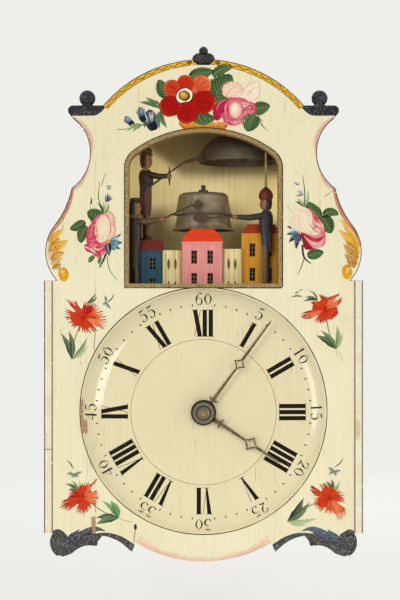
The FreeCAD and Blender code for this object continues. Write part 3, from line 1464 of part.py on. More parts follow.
def door(side):
    """A side door on two wire pins at its back edge, with a small turned knob."""
    axis_x, axis_y = door_axis()
    x0 = axis_x - DOOR_T / 2
    z0 = CASE_FLOOR_Z + END_PLAY
    z1 = CEILING_Z - END_PLAY
    y0 = SHIELD_BACK_Y + 2 * SLIP
    panel = box(x0, x0 + DOOR_T, y0, axis_y + DOOR_T / 2, z0, z1)
    back = [e for e in panel.Edges if e.BoundBox.YMin > axis_y and e.BoundBox.ZLength > DOOR_T * 2]
    panel = panel.makeFillet(DOOR_T / 2 - 0.01, back)
    pins = [pin_z(axis_x, axis_y, z1 - DOOR_PIN_REACH, CEILING_Z + DOOR_PIN_REACH, DOOR_PIN_R),
            pin_z(axis_x, axis_y, CASE_FLOOR_Z - DOOR_PIN_REACH, z0 + DOOR_PIN_REACH, DOOR_PIN_R)]
    knob_x = x0 + DOOR_T
    knob_y = y0 + 12
    knob_z = (z0 + z1) / 2
    knob = [rod(V(knob_x - 1, knob_y, knob_z), V(knob_x + 4, knob_y, knob_z), DOOR_KNOB_R / 2),
            Part.makeSphere(DOOR_KNOB_R, V(knob_x + 5, knob_y, knob_z))]
    turned = united([panel] + knob).cut(pins)
    solids = [turned] + pins
    return solids if side > 0 else [mirrored(solid) for solid in solids]


def nodes():
    """Every named piece of the clock, as one solid or a list of solids."""
    tails = tail_ends()
    return {
        "shield_board": shield_board(),
        "edge_strips": edge_strips(),
        "side_finials": side_finials(),
        "finial_top": finial_top(),
        "opening_bead": opening_bead(),
        "shield_battens": shield_battens(),
        "top_board": top_board(),
        "stage_back": stage_back(),
        "stage_side_left": mirrored(stage_side()),
        "stage_side_right": stage_side(),
        "stage_roof": stage_roof(),
        "house_blue": house_blue(),
        "house_pink": house_pink(),
        "house_yellow": house_yellow(),
        "town_wall_left": town_wall(LEFT_WALL, LEFT_WALL_TOP),
        "town_wall_right": town_wall(RIGHT_WALL, RIGHT_WALL_TOP),
        "bell_upper": bell(UPPER_BELL_R, UPPER_BELL_H, SMALL_BELL_FORM, 0, UPPER_BELL_RISE),
        "bell_lower": bell(LOWER_BELL_R, LOWER_BELL_H, SMALL_BELL_FORM, 0, LOWER_BELL_RISE),
        "bell_large": bell(LARGE_BELL_R, LARGE_BELL_H, LARGE_BELL_FORM, LARGE_BELL_X, LARGE_BELL_RISE),
        "bell_post": bell_post(),
        "bell_post_nut": bell_post_nut(),
        "large_bell_screw": large_bell_screw(),
        "bottom_board": bottom_board(),
        "corner_posts": corner_posts(),
        "front_bars": front_bars(),
        "rear_bars": rear_bars(),
        "pivot_bushes": pivot_bushes(),
        "back_panel": back_panel(),
        "hanging_plate": hanging_plate(),
        "motion_stud": motion_stud(),
        "suspension_stud": suspension_stud(),
        "figure_left_body": figure("left", hammer_left()),
        "figure_left_hammer": hammer_left(),
        "figure_left_arbor": figure_arbor("left", tails["left"]),
        "figure_right_body": figure("right", hammer_right()),
        "figure_right_hammer": hammer_right(),
        "figure_right_arbor": figure_arbor("right", tails["right"]),
        "figure_upper_body": figure("upper", hammer_upper()),
        "figure_upper_hammer": hammer_upper(),
        "figure_upper_arbor": figure_arbor("upper", tails["upper"]),
        "door_left": door(-1),
        "door_right": door(1),
        "great_wheel": great_wheel(),
        "centre_wheel": centre_wheel(),
        "third_wheel": third_wheel(),
        "escape_wheel": escape_wheel(),
        "anchor": anchor(),
        "pendulum_rod": pendulum_rod(),
        "pendulum_bob": pendulum_bob(),
        "motion_wheel": motion_wheel(),
        "hour_wheel": hour_wheel(),
        "cannon_pinion": cannon_pinion(),
        "hour_hand": hour_hand(),
        "minute_hand": minute_hand(),
        "hand_nut": hand_nut(),
        "hour_strike_wheel": strike_wheel(-1, HOUR_PINS),
        "hour_fly": fly(-1),
        "quarter_strike_wheel": strike_wheel(1, QUARTER_PINS),
        "quarter_fly": fly(1),
    }


def main():
    os.makedirs("parts", exist_ok=True)
    for name, made in nodes().items():
        shape = Part.makeCompound(made) if isinstance(made, list) else made
        shape.exportStep("parts/" + name + ".step")


main()
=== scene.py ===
"""Looks of a painted shield clock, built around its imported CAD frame.

Metres, in the CAD's own axes: +Z up, and the dial faces -Y. The painted decoration is laid out on a
painter's grid over the shield's front, and each brush stroke is dropped onto the wood by a ray.
"""
import math
import random

import bpy
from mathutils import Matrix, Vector
from mathutils.bvhtree import BVHTree


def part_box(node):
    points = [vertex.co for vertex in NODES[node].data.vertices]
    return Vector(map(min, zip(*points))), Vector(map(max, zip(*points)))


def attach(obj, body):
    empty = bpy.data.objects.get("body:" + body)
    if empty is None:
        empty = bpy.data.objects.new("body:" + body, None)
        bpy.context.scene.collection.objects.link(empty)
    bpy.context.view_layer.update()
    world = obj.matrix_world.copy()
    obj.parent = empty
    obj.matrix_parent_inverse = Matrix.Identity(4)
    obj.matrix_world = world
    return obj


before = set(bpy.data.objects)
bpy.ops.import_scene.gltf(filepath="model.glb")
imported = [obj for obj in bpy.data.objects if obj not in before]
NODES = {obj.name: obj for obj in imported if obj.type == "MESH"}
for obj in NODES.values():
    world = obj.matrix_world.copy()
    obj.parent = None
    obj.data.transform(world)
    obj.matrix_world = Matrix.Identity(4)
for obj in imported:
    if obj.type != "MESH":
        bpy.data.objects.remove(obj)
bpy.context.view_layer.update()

bl_info = {
    "name": "Painted Shield Clock",
    "version": (1, 0, 0),
    "blender": (4, 5, 0),
    "location": "View3D > Sidebar > Clock",
    "description": "Paint, wood, metal and light for a shield clock with a striking stage",
    "category": "Object",
}

MM = 0.001
GRID = 0.9 * MM                   # one step of the painter's grid
GRID_CENTRE = (203.5, 411.0)      # the dial's centre on that grid, counted right and down
DIAL_Z = -0.176
DIAL_RISE = -DIAL_Z / MM          # what a height in millimetres gains when counted from the dial's centre


def srgb(red, green, blue):
    """A colour written as screen values from 0 to 255, as linear light."""
    def linear(value):
        value /= 255
        return value / 12.92 if value <= 0.04045 else ((value + 0.055) / 1.055) ** 2.4
    return (linear(red), linear(green), linear(blue))


def blend(a, b, share):
    """The mixture of two colours or points."""
    return tuple(p + (q - p) * share for p, q in zip(a, b))


def darker(tone, share):
    return blend(tone, (0.0, 0.0, 0.0), share)


# Node materials

class Socket:
    """An output socket. Arithmetic on it adds Math nodes."""

    def __init__(self, nodes, out):
        self.nodes = nodes
        self.out = out

    def maths(self, operation, a, b=0.0):
        return self.nodes.node("ShaderNodeMath", {"operation": operation}, {0: a, 1: b})

    def __add__(self, other):
        return self.maths("ADD", self, other)

    def __sub__(self, other):
        return self.maths("SUBTRACT", self, other)

    def __rsub__(self, other):
        return self.maths("SUBTRACT", other, self)

    def __mul__(self, other):
        return self.maths("MULTIPLY", self, other)

    def __truediv__(self, other):
        return self.maths("DIVIDE", self, other)

    def __pow__(self, other):
        return self.maths("POWER", self, other)

    def __abs__(self):
        return self.maths("ABSOLUTE", self)

    def at_least(self, other):
        return self.maths("MAXIMUM", self, other)

    def at_most(self, other):
        return self.maths("MINIMUM", self, other)

    def step(self, low, high):
        """0 before low, 1 past high and a smooth change between, also where low is the larger."""
        return self.nodes.node("ShaderNodeMapRange", {"interpolation_type": "SMOOTHSTEP"},
            {"Value": self, "From Min": low, "From Max": high})

    def near(self, middle, inner, outer):
        """1 within inner of the middle, falling to 0 at outer."""
        return abs(self - middle).step(outer, inner)


class Nodes:
    """A node tree that is filled by one method."""

    def __init__(self, tree):
        self.tree = tree
        self.tree.nodes.clear()

    def node(self, kind, settings=None, sockets=None, out=0):
        made = self.tree.nodes.new(kind)
        for key, value in (settings or {}).items():
            setattr(made, key, value)
        for key, value in (sockets or {}).items():
            socket = made.inputs[key]
            if isinstance(value, Socket):
                self.tree.links.new(value.out, socket)
            elif socket.type == "RGBA":
                socket.default_value = (*value, 1.0)
            else:
                socket.default_value = value
        return Socket(self, made.outputs[out]) if made.outputs else None


class Finish(Nodes):
    """One material. Places are in millimetres of the CAD frame."""

    def __init__(self, name):
        self.material = bpy.data.materials.new(name)
        self.material.use_nodes = True
        super().__init__(self.material.node_tree)
        coordinates = self.node("ShaderNodeTexCoord", out="Object")
        self.place = self.vector("MULTIPLY", coordinates, (1 / MM, 1 / MM, 1 / MM))
        self.x, self.y, self.z = self.parts(self.place)

    def vector(self, operation, a, b):
        return self.node("ShaderNodeVectorMath", {"operation": operation}, {0: a, 1: b})

    def parts(self, vector):
        cut = self.node("ShaderNodeSeparateXYZ", sockets={0: vector})
        return [Socket(self, out) for out in cut.out.node.outputs]

    def facing(self):
        """The three parts of the surface's own normal."""
        return self.parts(self.node("ShaderNodeNewGeometry", out="Normal"))

    def noise(self, per_mm, detail, warp=0.0, at=None, stretch=(1.0, 1.0, 1.0)):
        """Cloudy noise around a half, with so many lumps in a millimetre."""
        at = self.vector("MULTIPLY", at or self.place, stretch)
        return self.node("ShaderNodeTexNoise", sockets={
            "Vector": at, "Scale": per_mm, "Detail": detail, "Roughness": 0.55, "Distortion": warp})

    def cells(self, per_mm, stretch=(1.0, 1.0, 1.0)):
        """How far each place is from the nearest of many scattered points, in cell widths."""
        at = self.vector("MULTIPLY", self.place, stretch)
        return self.node("ShaderNodeTexVoronoi", sockets={"Vector": at, "Scale": per_mm})

    def mix(self, share, a, b, mode="MIX"):
        return self.node("ShaderNodeMix", {"data_type": "RGBA", "blend_type": mode}, {0: share, 6: a, 7: b}, 2)

    def attribute(self, name, out):
        return self.node("ShaderNodeAttribute", {"attribute_name": name}, out=out)

    def bump(self, height, relief_mm):
        return self.node("ShaderNodeBump", sockets={
            "Height": height, "Strength": 1.0, "Distance": relief_mm * MM})

    def done(self, **sockets):
        """Adds the shader with these sockets, named with underscores for spaces."""
        shader = self.node("ShaderNodeBsdfPrincipled",
            sockets={key.replace("_", " "): value for key, value in sockets.items()})
        self.node("ShaderNodeOutputMaterial", sockets={"Surface": shader})
        return self.material

    def painted(self, tone, rough, height, depth, gloss, **more):
        """Ends a painted finish, with a relief of some depth in mm and a share of gloss."""
        relief = self.bump(height, depth)
        return self.done(Base_Color=tone, Roughness=rough, Normal=relief, Specular_IOR_Level=gloss, **more)


# Stretches that draw noise out along an axis
ALONG = {"x": (0.03, 1.0, 1.0), "z": (1.0, 1.0, 0.03)}


def grain(f, along, turns):
    """Growth lines from 0 to 1 and fine fibres, both drawn out along one axis."""
    field = f.noise(0.03, 2.0, 0.3, stretch=ALONG[along])
    lines = f.node("ShaderNodeMath", {"operation": "SINE"}, {0: field * turns}) * 0.5 + 0.5
    return lines, f.noise(1.1, 4.0, stretch=ALONG[along])


def planed_pine(f, look, turns):
    """Bare pine as a colour on a finish that is being made, and its growth lines."""
    lines, fibre = grain(f, "z", turns)
    return f.mix(lines * 0.5 + fibre * 0.35, look.pine, look.pine_dark), lines


def bare_wood(name, light, dark, along="z", grime=0.35, rings=22.0):
    """Planed softwood or beech: growth lines and fibres along one axis, dusty in patches."""
    f = Finish(name)
    lines, fibre = grain(f, along, rings * math.tau)
    tone = f.mix((lines ** 2.0) * 0.55 + fibre.step(0.35, 0.75) * 0.4, light, dark)
    dust = f.noise(0.02, 4.0).step(0.4, 0.7)
    tone = f.mix(dust * grime, tone, blend(dark, (0.02, 0.016, 0.012), 0.55))
    pores = f.noise(0.9, 2.0, stretch=ALONG[along]).step(0.66, 0.74)
    tone = f.mix(pores * 0.4, tone, darker(dark, 0.5))
    height = fibre * 0.6 + lines * 0.25 - pores * 0.7
    return f.painted(tone, fibre * 0.2 + dust * 0.12 + 0.55, height, 0.12, 0.2)


def aged_paint(name, colour, shade, under, streaks="z", wear=0.68):
    """Old matt paint: brush marks, clouding, and chips down to what lies under it."""
    f = Finish(name)
    brush = f.noise(0.9, 4.0, stretch=ALONG[streaks])
    cloud = f.noise(0.07, 3.0)
    tone = f.mix(cloud.step(0.35, 0.7) * 0.55 + brush.step(0.4, 0.75) * 0.35, colour, shade)
    chips = f.noise(0.45, 5.0, 0.6).step(wear, wear + 0.03)
    tone = f.mix(chips * 0.9, tone, under)
    height = brush * 0.5 + cloud * 0.3 - chips * 0.8
    return f.painted(tone, brush * 0.2 + chips * 0.2 + 0.4, height, 0.1, 0.15)


def speckled(f, ground, flecks):
    """A dark ground with worn flecks in it, as a colour on a finish that is being made."""
    fleck = f.noise(0.9, 4.0, 0.5).step(0.53, 0.62) * (f.noise(0.12, 2.0).step(0.4, 0.62) * 0.8 + 0.2)
    tone = f.mix(fleck, ground, flecks)
    return f.mix(f.noise(0.3, 3.0).step(0.45, 0.75) * 0.6, tone, darker(ground, 0.6))


def dark_lacquer(name, ground, flecks):
    """Blue-black paint on the turned and carved ornaments, worn to pale flecks."""
    f = Finish(name)
    height = f.noise(0.8, 4.0)
    return f.painted(speckled(f, ground, flecks), height * 0.4 + 0.26, height, 0.25, 0.3)


def worn_metal(name, bright, dull, rough, relief=0.06, metallic=1.0):
    """Metal gone dull: cloudy tarnish, fine scratches and small pits."""
    f = Finish(name)
    cloud = f.noise(0.11, 4.0, 0.4).step(0.3, 0.72)
    scratch = f.noise(1.4, 3.0, stretch=(1.0, 1.0, 0.12)).step(0.5, 0.8)
    pits = f.noise(1.1, 3.0).step(0.62, 0.72)
    tone = f.mix(cloud * 0.8, bright, dull)
    tone = f.mix(pits * 0.55, tone, darker(dull, 0.5))
    return f.done(Base_Color=tone, Metallic=metallic - pits * 0.35,
        Roughness=cloud * 0.18 + pits * 0.15 + scratch * 0.08 + (rough - 0.1),
        Normal=f.bump(f.noise(0.6, 4.0) * 0.6 - pits * 0.8, relief))


def dress(material, *names):
    """Gives CAD nodes a material in place of their plain one."""
    for name in names:
        mesh = NODES[name].data
        mesh.materials.clear()
        mesh.materials.append(material)


# Brushwork

def tuned(values, share):
    """The value at a share of the way through evenly spaced numbers or tuples."""
    if len(values) == 1:
        return values[0]
    where = min(max(share, 0.0), 1.0) * (len(values) - 1)
    first = min(int(where), len(values) - 2)
    a, b = values[first], values[first + 1]
    if isinstance(a, tuple):
        return blend(a, b, where - first)
    return a + (b - a) * (where - first)


def path_length(way):
    return sum(math.dist(p, q) for p, q in zip(way, way[1:]))


def evenly(way, count):
    """The points that part a path into so many equal lengths, with both its ends."""
    reach = [0.0]
    for p, q in zip(way, way[1:]):
        reach.append(reach[-1] + math.dist(p, q))
    spots, at = [], 0
    for i in range(count + 1):
        goal = reach[-1] * i / count
        while at < len(way) - 2 and reach[at + 1] < goal:
            at += 1
        run = reach[at + 1] - reach[at]
        spots.append(blend(way[at], way[at + 1], (goal - reach[at]) / run if run else 0.0))
    return spots


def flowing(points, count, closed=False):
    """Points at even distances along a smooth curve through the given ones."""
    steps = 10
    total = len(points)
    fine = []
    for i in range(total if closed else total - 1):
        near = [points[k % total if closed else min(max(k, 0), total - 1)] for k in range(i - 1, i + 3)]
        for s in range(steps):
            t = s / steps
            fine.append(tuple(
                0.5 * (2 * q + (r - p) * t + (2 * p - 5 * q + 4 * r - e) * t * t
                       + (3 * q - p - 3 * r + e) * t ** 3)
                for p, q, r, e in zip(*near)))
    fine.append(points[0] if closed else points[-1])
    spots = evenly(fine, count)
    return spots[:-1] if closed else spots


def fit(mesh, material, slot):
    """Makes a piece of the case from a mesh."""
    mesh.materials.append(material)
    mesh.validate()
    piece = bpy.data.objects.new(mesh.name, mesh)
    bpy.context.scene.collection.objects.link(piece)
    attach(piece, "case")


def surface_of(*names):
    """A tree of the faces of CAD nodes, to drop things on."""
    spots, faces = [], []
    for name in names:
        mesh = NODES[name].data
        start = len(spots)
        spots += [v.co.copy() for v in mesh.vertices]
        faces += [[start + i for i in face.vertices] for face in mesh.polygons]
    return BVHTree.FromPolygons(spots, faces)


class Brushwork:
    """Gathers brush strokes on the painter's grid into one thin mesh that lies on the wood."""

    LAYER = 0.018 * MM          # what a layer stands above the one below
    STROKE = 0.0006 * MM        # what a stroke stands above the last one in its layer
    SHAPE_STEP = 1.4            # distance between the points of a shape's edge
    VIEW_Y = -0.25              # strokes are dropped from here
    BOARD_Y = -0.118            # and past an edge they go to the wood nearest this plane
    STEEP = -0.12               # as they do where the wood turns away further than this

    def __init__(self, name, seed):
        self.name = name
        self.chance = random.Random(seed)
        self.spots, self.faces, self.colours, self.marks = [], [], [], []
        self.lift = self.LAYER
        self.mirror = False

    def between(self, low, high):
        return self.chance.uniform(low, high)

    def layer(self, number):
        self.lift = self.LAYER * (1 + number)

    def add(self, spot, colour, mark):
        u, v = spot
        if self.mirror:
            u = 2 * GRID_CENTRE[0] - u
        self.spots.append((u, v, self.lift))
        self.colours.append(colour)
        self.marks.append(mark)

    def grid_faces(self, start, rows, columns, closed=False):
        for i in range(rows):
            for j in range(columns if closed else columns - 1):
                k = (j + 1) % columns
                a, b = start + i * columns + j, start + i * columns + k
                face = (a, b, b + columns, a + columns)
                self.faces.append(face[::-1] if self.mirror else face)
        self.lift += self.STROKE

    def strip(self, line, widths, colours, rim=None, columns=3, step=1.1, smooth=True):
        """One pull of the brush along a line. rim tints the right-hand edge."""
        length = path_length(line)
        count = max(4, int(length / step))
        middle = flowing(line, count) if smooth else line
        count = len(middle) - 1
        seed = self.chance.uniform(0.0, 90.0)
        start = len(self.spots)
        for i, (u, v) in enumerate(middle):
            a, b = middle[max(i - 1, 0)], middle[min(i + 1, count)]
            du, dv = b[0] - a[0], b[1] - a[1]
            size = math.hypot(du, dv) or 1.0
            share = i / count
            half = tuned(widths, share) / 2
            tone = tuned(colours, share)
            for j in range(columns):
                side = 2 * j / (columns - 1) - 1
                spot = (u - dv / size * half * side, v + du / size * half * side)
                shade = blend(tone, tuned(rim, share), (side + 1) / 2) if rim else tone
                self.add(spot, shade, (share * length * 0.12, side * 2.2, seed))
        self.grid_faces(start, count, columns)

    def strips(self, widths, colours, *lines):
        for line in lines:
            self.strip(line, widths, colours)

    def arc(self, start, end, bend, *how, **more):
        """A stroke between two spots that bows out to one side."""
        self.strip([start, aside(start, end, 0.5, bend), end], *how, **more)

    def shape(self, outline, inner, outer, rings=4, centre=None):
        """A filled shape, shaded from its middle to its edge."""
        ring = outline + outline[:1]
        if sum(p[0] * q[1] - q[0] * p[1] for p, q in zip(ring, ring[1:])) < 0:
            outline = outline[::-1]
        edge = flowing(outline, max(10, int(path_length(ring) / self.SHAPE_STEP)), closed=True)
        if centre is None:
            centre = tuple(sum(part) / len(edge) for part in zip(*edge))
        seed = self.chance.uniform(0.0, 90.0)
        start = len(self.spots)
        for i in range(rings + 1):
            share = i / rings
            for j, spot in enumerate(edge):
                self.add(blend(centre, spot, max(share, 0.02)), blend(inner, outer, share ** 1.3),
                         (share * 2.0, 9.0 * j / len(edge), seed))
        self.grid_faces(start, rings, len(edge), closed=True)

    def oval(self, centre, half_u, half_v, inner, outer, turn=0.0, wobble=0.06, corners=12):
        """A filled oval with an uneven edge, turned by an angle."""
        outline = []
        for i in range(corners):
            angle = math.tau * i / corners
            swell = 1 + self.chance.uniform(-wobble, wobble)
            u, v = half_u * math.cos(angle) * swell, half_v * math.sin(angle) * swell
            outline.append((centre[0] + u * math.cos(turn) - v * math.sin(turn),
                centre[1] + u * math.sin(turn) + v * math.cos(turn)))
        self.shape(outline, inner, outer, centre=centre)

    def made(self, material, slot, surface):
        """Drops the strokes onto a surface, as one piece of the case."""
        spots = []
        for u, v, lift in self.spots:
            x = (u - GRID_CENTRE[0]) * GRID
            z = DIAL_Z + (GRID_CENTRE[1] - v) * GRID
            hit, normal, _, _ = surface.ray_cast(Vector((x, self.VIEW_Y, z)), Vector((0.0, 1.0, 0.0)))
            if hit is None or normal.y > self.STEEP:
                hit, _, _, _ = surface.find_nearest(Vector((x, self.BOARD_Y, z)))
                normal = Vector((0.0, -1.0, 0.0))
            spots.append(hit + normal * lift)
        mesh = bpy.data.meshes.new(self.name)
        mesh.from_pydata(spots, [], self.faces)
        paint = mesh.attributes.new("paint", "FLOAT_COLOR", "POINT")
        paint.data.foreach_set("color", [c for colour in self.colours for c in (*colour, 1.0)])
        stroke = mesh.attributes.new("stroke", "FLOAT_VECTOR", "POINT")
        stroke.data.foreach_set("vector", [m for mark in self.marks for m in mark])
        fit(mesh, material, slot)


def brush_oil(name, wear=0.71, streak=0.3):
    """Oil colour as the strokes carry it: bristle marks along each stroke, and flaked spots."""
    f = Finish(name)
    colour = f.attribute("paint", "Color")
    bristle = f.noise(1.7, 3.0, at=f.attribute("stroke", "Vector"))
    tone = f.mix(bristle.step(0.5, 0.75) * streak, colour, (1.2, 1.2, 1.16), "MULTIPLY")
    tone = f.mix(bristle.step(0.5, 0.3) * streak, tone, (0.5, 0.47, 0.44), "MULTIPLY")
    flake = f.noise(0.5, 5.0, 0.8).step(wear, wear + 0.02)
    return f.done(Base_Color=tone, Roughness=bristle * 0.3 + 0.35, Alpha=1 - flake, Normal=f.bump(bristle, 0.05),
        Specular_IOR_Level=0.1)


# The painter's colours and set pieces

INK = srgb(24, 17, 10)
OLIVE_INK = srgb(58, 46, 22)
DEEP_RED = srgb(146, 10, 8)
RED = srgb(180, 24, 14)
SCARLET = srgb(204, 66, 28)
CORAL = srgb(226, 124, 78)
CRIMSON = srgb(182, 18, 72)
WINE = srgb(152, 20, 42)
ROSE = srgb(206, 70, 100)
PINK = srgb(226, 160, 150)
BLUSH = srgb(236, 212, 184)
CHALK = srgb(244, 237, 218)
YELLOW = srgb(228, 172, 38)
OCHRE = srgb(196, 142, 48)
ORANGE = srgb(218, 112, 34)
DEEP_GREEN = srgb(20, 36, 20)
BOTTLE = srgb(34, 56, 30)
LEAF = srgb(74, 108, 60)
SPRING = srgb(130, 154, 98)
SAGE = srgb(178, 190, 138)
NAVY = srgb(16, 24, 42)
BLUE = srgb(54, 80, 112)
SKY = srgb(156, 184, 194)
TEAL = srgb(60, 104, 116)
AQUA = srgb(84, 140, 166)
GREY_BLUE = srgb(132, 140, 158)
UMBER = srgb(82, 54, 28)
SLATE = srgb(46, 46, 52)
TERRACOTTA = srgb(194, 134, 102)
WORN_PINK = srgb(222, 180, 158)
BLACK = (0.006, 0.005, 0.004)


def aside(base, tip, share, out):
    """A point a share of the way from base to tip, moved sideways by out times their distance."""
    du, dv = tip[0] - base[0], tip[1] - base[1]
    return (base[0] + du * share - dv * out, base[1] + dv * share + du * out)


def leaf(brush, base, tip, width, bend=0.08, ribs=5, dark=BOTTLE, light=LEAF):
    """A painted leaf with a fine toothed edge, dark on one side, with a pale rim, midrib and side veins."""
    size = math.dist(base, tip)

    def at(t, side=0):
        return aside(base, tip, t, bend * 4 * t * (1 - t) + side * width * swell(t) / size / 2)

    def swell(t):
        return math.sin(math.pi * t ** 0.8) ** 0.62

    stops = 36
    widths = [width * swell(i / stops) * (1 + 0.1 * (i % 4 - 1.5) / 1.5) + 0.1 for i in range(stops + 1)]
    deep = blend(dark, BLACK, 0.3)
    brush.strip([at(i / 8) for i in range(9)], widths, [deep, blend(dark, light, 0.3), deep],
        [blend(dark, light, 0.6), light], columns=7, step=0.6)
    pale = blend(light, SPRING, 0.5)
    for side in (-0.92, 0.92):
        brush.strip([at(0.22 + 0.09 * i, side) for i in range(9)], [0.1, 0.7, 0.9, 0.6, 0.1],
            [blend(light, SPRING, 0.25), pale])
    brush.strip([at(i / 6) for i in range(7)], [0.9, 0.6, 0.15], [pale])
    for i in range(ribs):
        t = 0.1 + 0.64 * i / max(ribs - 1, 1)
        for side in (-0.86, 0.86):
            brush.strip([at(t), at(t + 0.1, side * 0.5), at(min(t + 0.22, 0.96), side)], [0.6, 0.45, 0.1], [pale],
                step=1.2)


def blade(brush, base, tip, width, dark, light, bend=0.1):
    """A slim leaf or sepal in one pull of the brush."""
    brush.arc(base, tip, bend, [0.5, width, width * 0.8, 0.1], [dark, light], [light, blend(light, CHALK, 0.2)],
        columns=5, step=0.7)


def stem(brush, line, width=0.8, colour=BOTTLE):
    brush.strip(line, [width, width, width * 0.5], [colour, blend(colour, LEAF, 0.4)])


def leaves(brush, *rows, **how):
    """Several leaves, each with its base, tip, width and bend, and some with their ribs."""
    for row in rows:
        leaf(brush, *row, **how)


def fan(brush, root, *rows):
    """Several blades from one root, each with its tip, width and two colours."""
    for row in rows:
        blade(brush, root, *row)


def stems(brush, *rows):
    for row in rows:
        stem(brush, *row)


def fringed(brush, root, tips, deep, bright, hairs):
    """A carnation's petal: a soft body that frays into fine points along its outer edge."""
    width, body = 2, 0.7
    rim = [tuned(tips, i / 8) for i in range(9)]
    brush.shape([root] + [blend(root, tip, body) for tip in rim], deep, blend(deep, bright, 0.6), rings=3)
    for i in range(hairs):
        share = (i + 0.5) / hairs
        tip = tuned(tips, min(max(share + brush.between(-0.3, 0.3) / hairs, 0), 1))
        tip = blend(root, tip, brush.between(0.9, 1.1))
        start = blend(root, tip, brush.between(0.2, 0.5))
        tone = blend(deep, bright, brush.between(0, 1))
        end = blend(tone, brush.chance.choice((CORAL, DEEP_RED, bright)), 0.45)
        brush.strip([start, aside(start, tip, 0.55, brush.between(-0.05, 0.05)), tip],
            [width * 0.6, width, width * 0.7, 0.1], [tone, end], step=0.8)


def broad_petal(brush, heart, centre, radius, deep, bright):
    """A round petal with a dark outline, a bright rim and streaks that run out from the flower's heart."""
    turn = math.atan2(centre[1] - heart[1], centre[0] - heart[0])
    shadow = blend(deep, BLACK, 0.5)

    def on_rim(angle, share):
        return (centre[0] + radius * share * math.cos(turn + angle),
            centre[1] + radius * share * math.sin(turn + angle))

    brush.oval(centre, radius * 1.025, radius * 1.01, shadow, shadow, turn, 0.03, 16)
    brush.oval(centre, radius, radius * 0.98, blend(deep, bright, 0.15), blend(deep, bright, 0.6), turn, 0.03, 16)
    for i in range(19):
        tip = on_rim((i / 18 - 0.5) * 2.6, brush.between(0.78, 0.98))
        start = blend(heart, tip, brush.between(0.4, 0.6))
        tone = blend(deep, bright, brush.between(0, 0.9))
        brush.strip([start, blend(start, tip, 0.5), tip], [0.3, brush.between(0.5, 1.3), 0.2],
            [blend(tone, deep, 0.6), tone])
    brush.strip([on_rim(0.22 * i - 1.1, 0.9) for i in range(11)], [0.2, 0.9, 1.3, 0.8, 0.2],
        [bright, blend(bright, CORAL, 0.3)])


def bud(brush, foot, top, width):
    """A tulip bud: dark at its foot, with pale petal tips."""
    middle = blend(foot, top, 0.45)
    turn = math.atan2(top[1] - foot[1], top[0] - foot[0])
    half = math.dist(foot, top) / 2
    brush.oval(middle, half, width / 2, BLUE, NAVY, turn, 0.05, 16)
    for i in range(13):
        lean = i / 6 - 1
        tip = aside(foot, top, brush.between(0.82, 1) - 0.12 * lean * lean, lean * 0.36 * width / half)
        belly = aside(foot, top, 0.5, lean * 0.25 * width / half)
        pale = brush.chance.choice((SKY, GREY_BLUE, BLUE, CHALK))
        brush.strip([foot, belly, tip], [0.2, width * 0.15, 0.15], [NAVY, NAVY, blend(BLUE, pale, 0.5), pale])
    low = aside(foot, top, 0.16, 0.1)
    brush.oval(low, half * 0.42, width * 0.3, blend(NAVY, BLACK, 0.6), NAVY, turn)


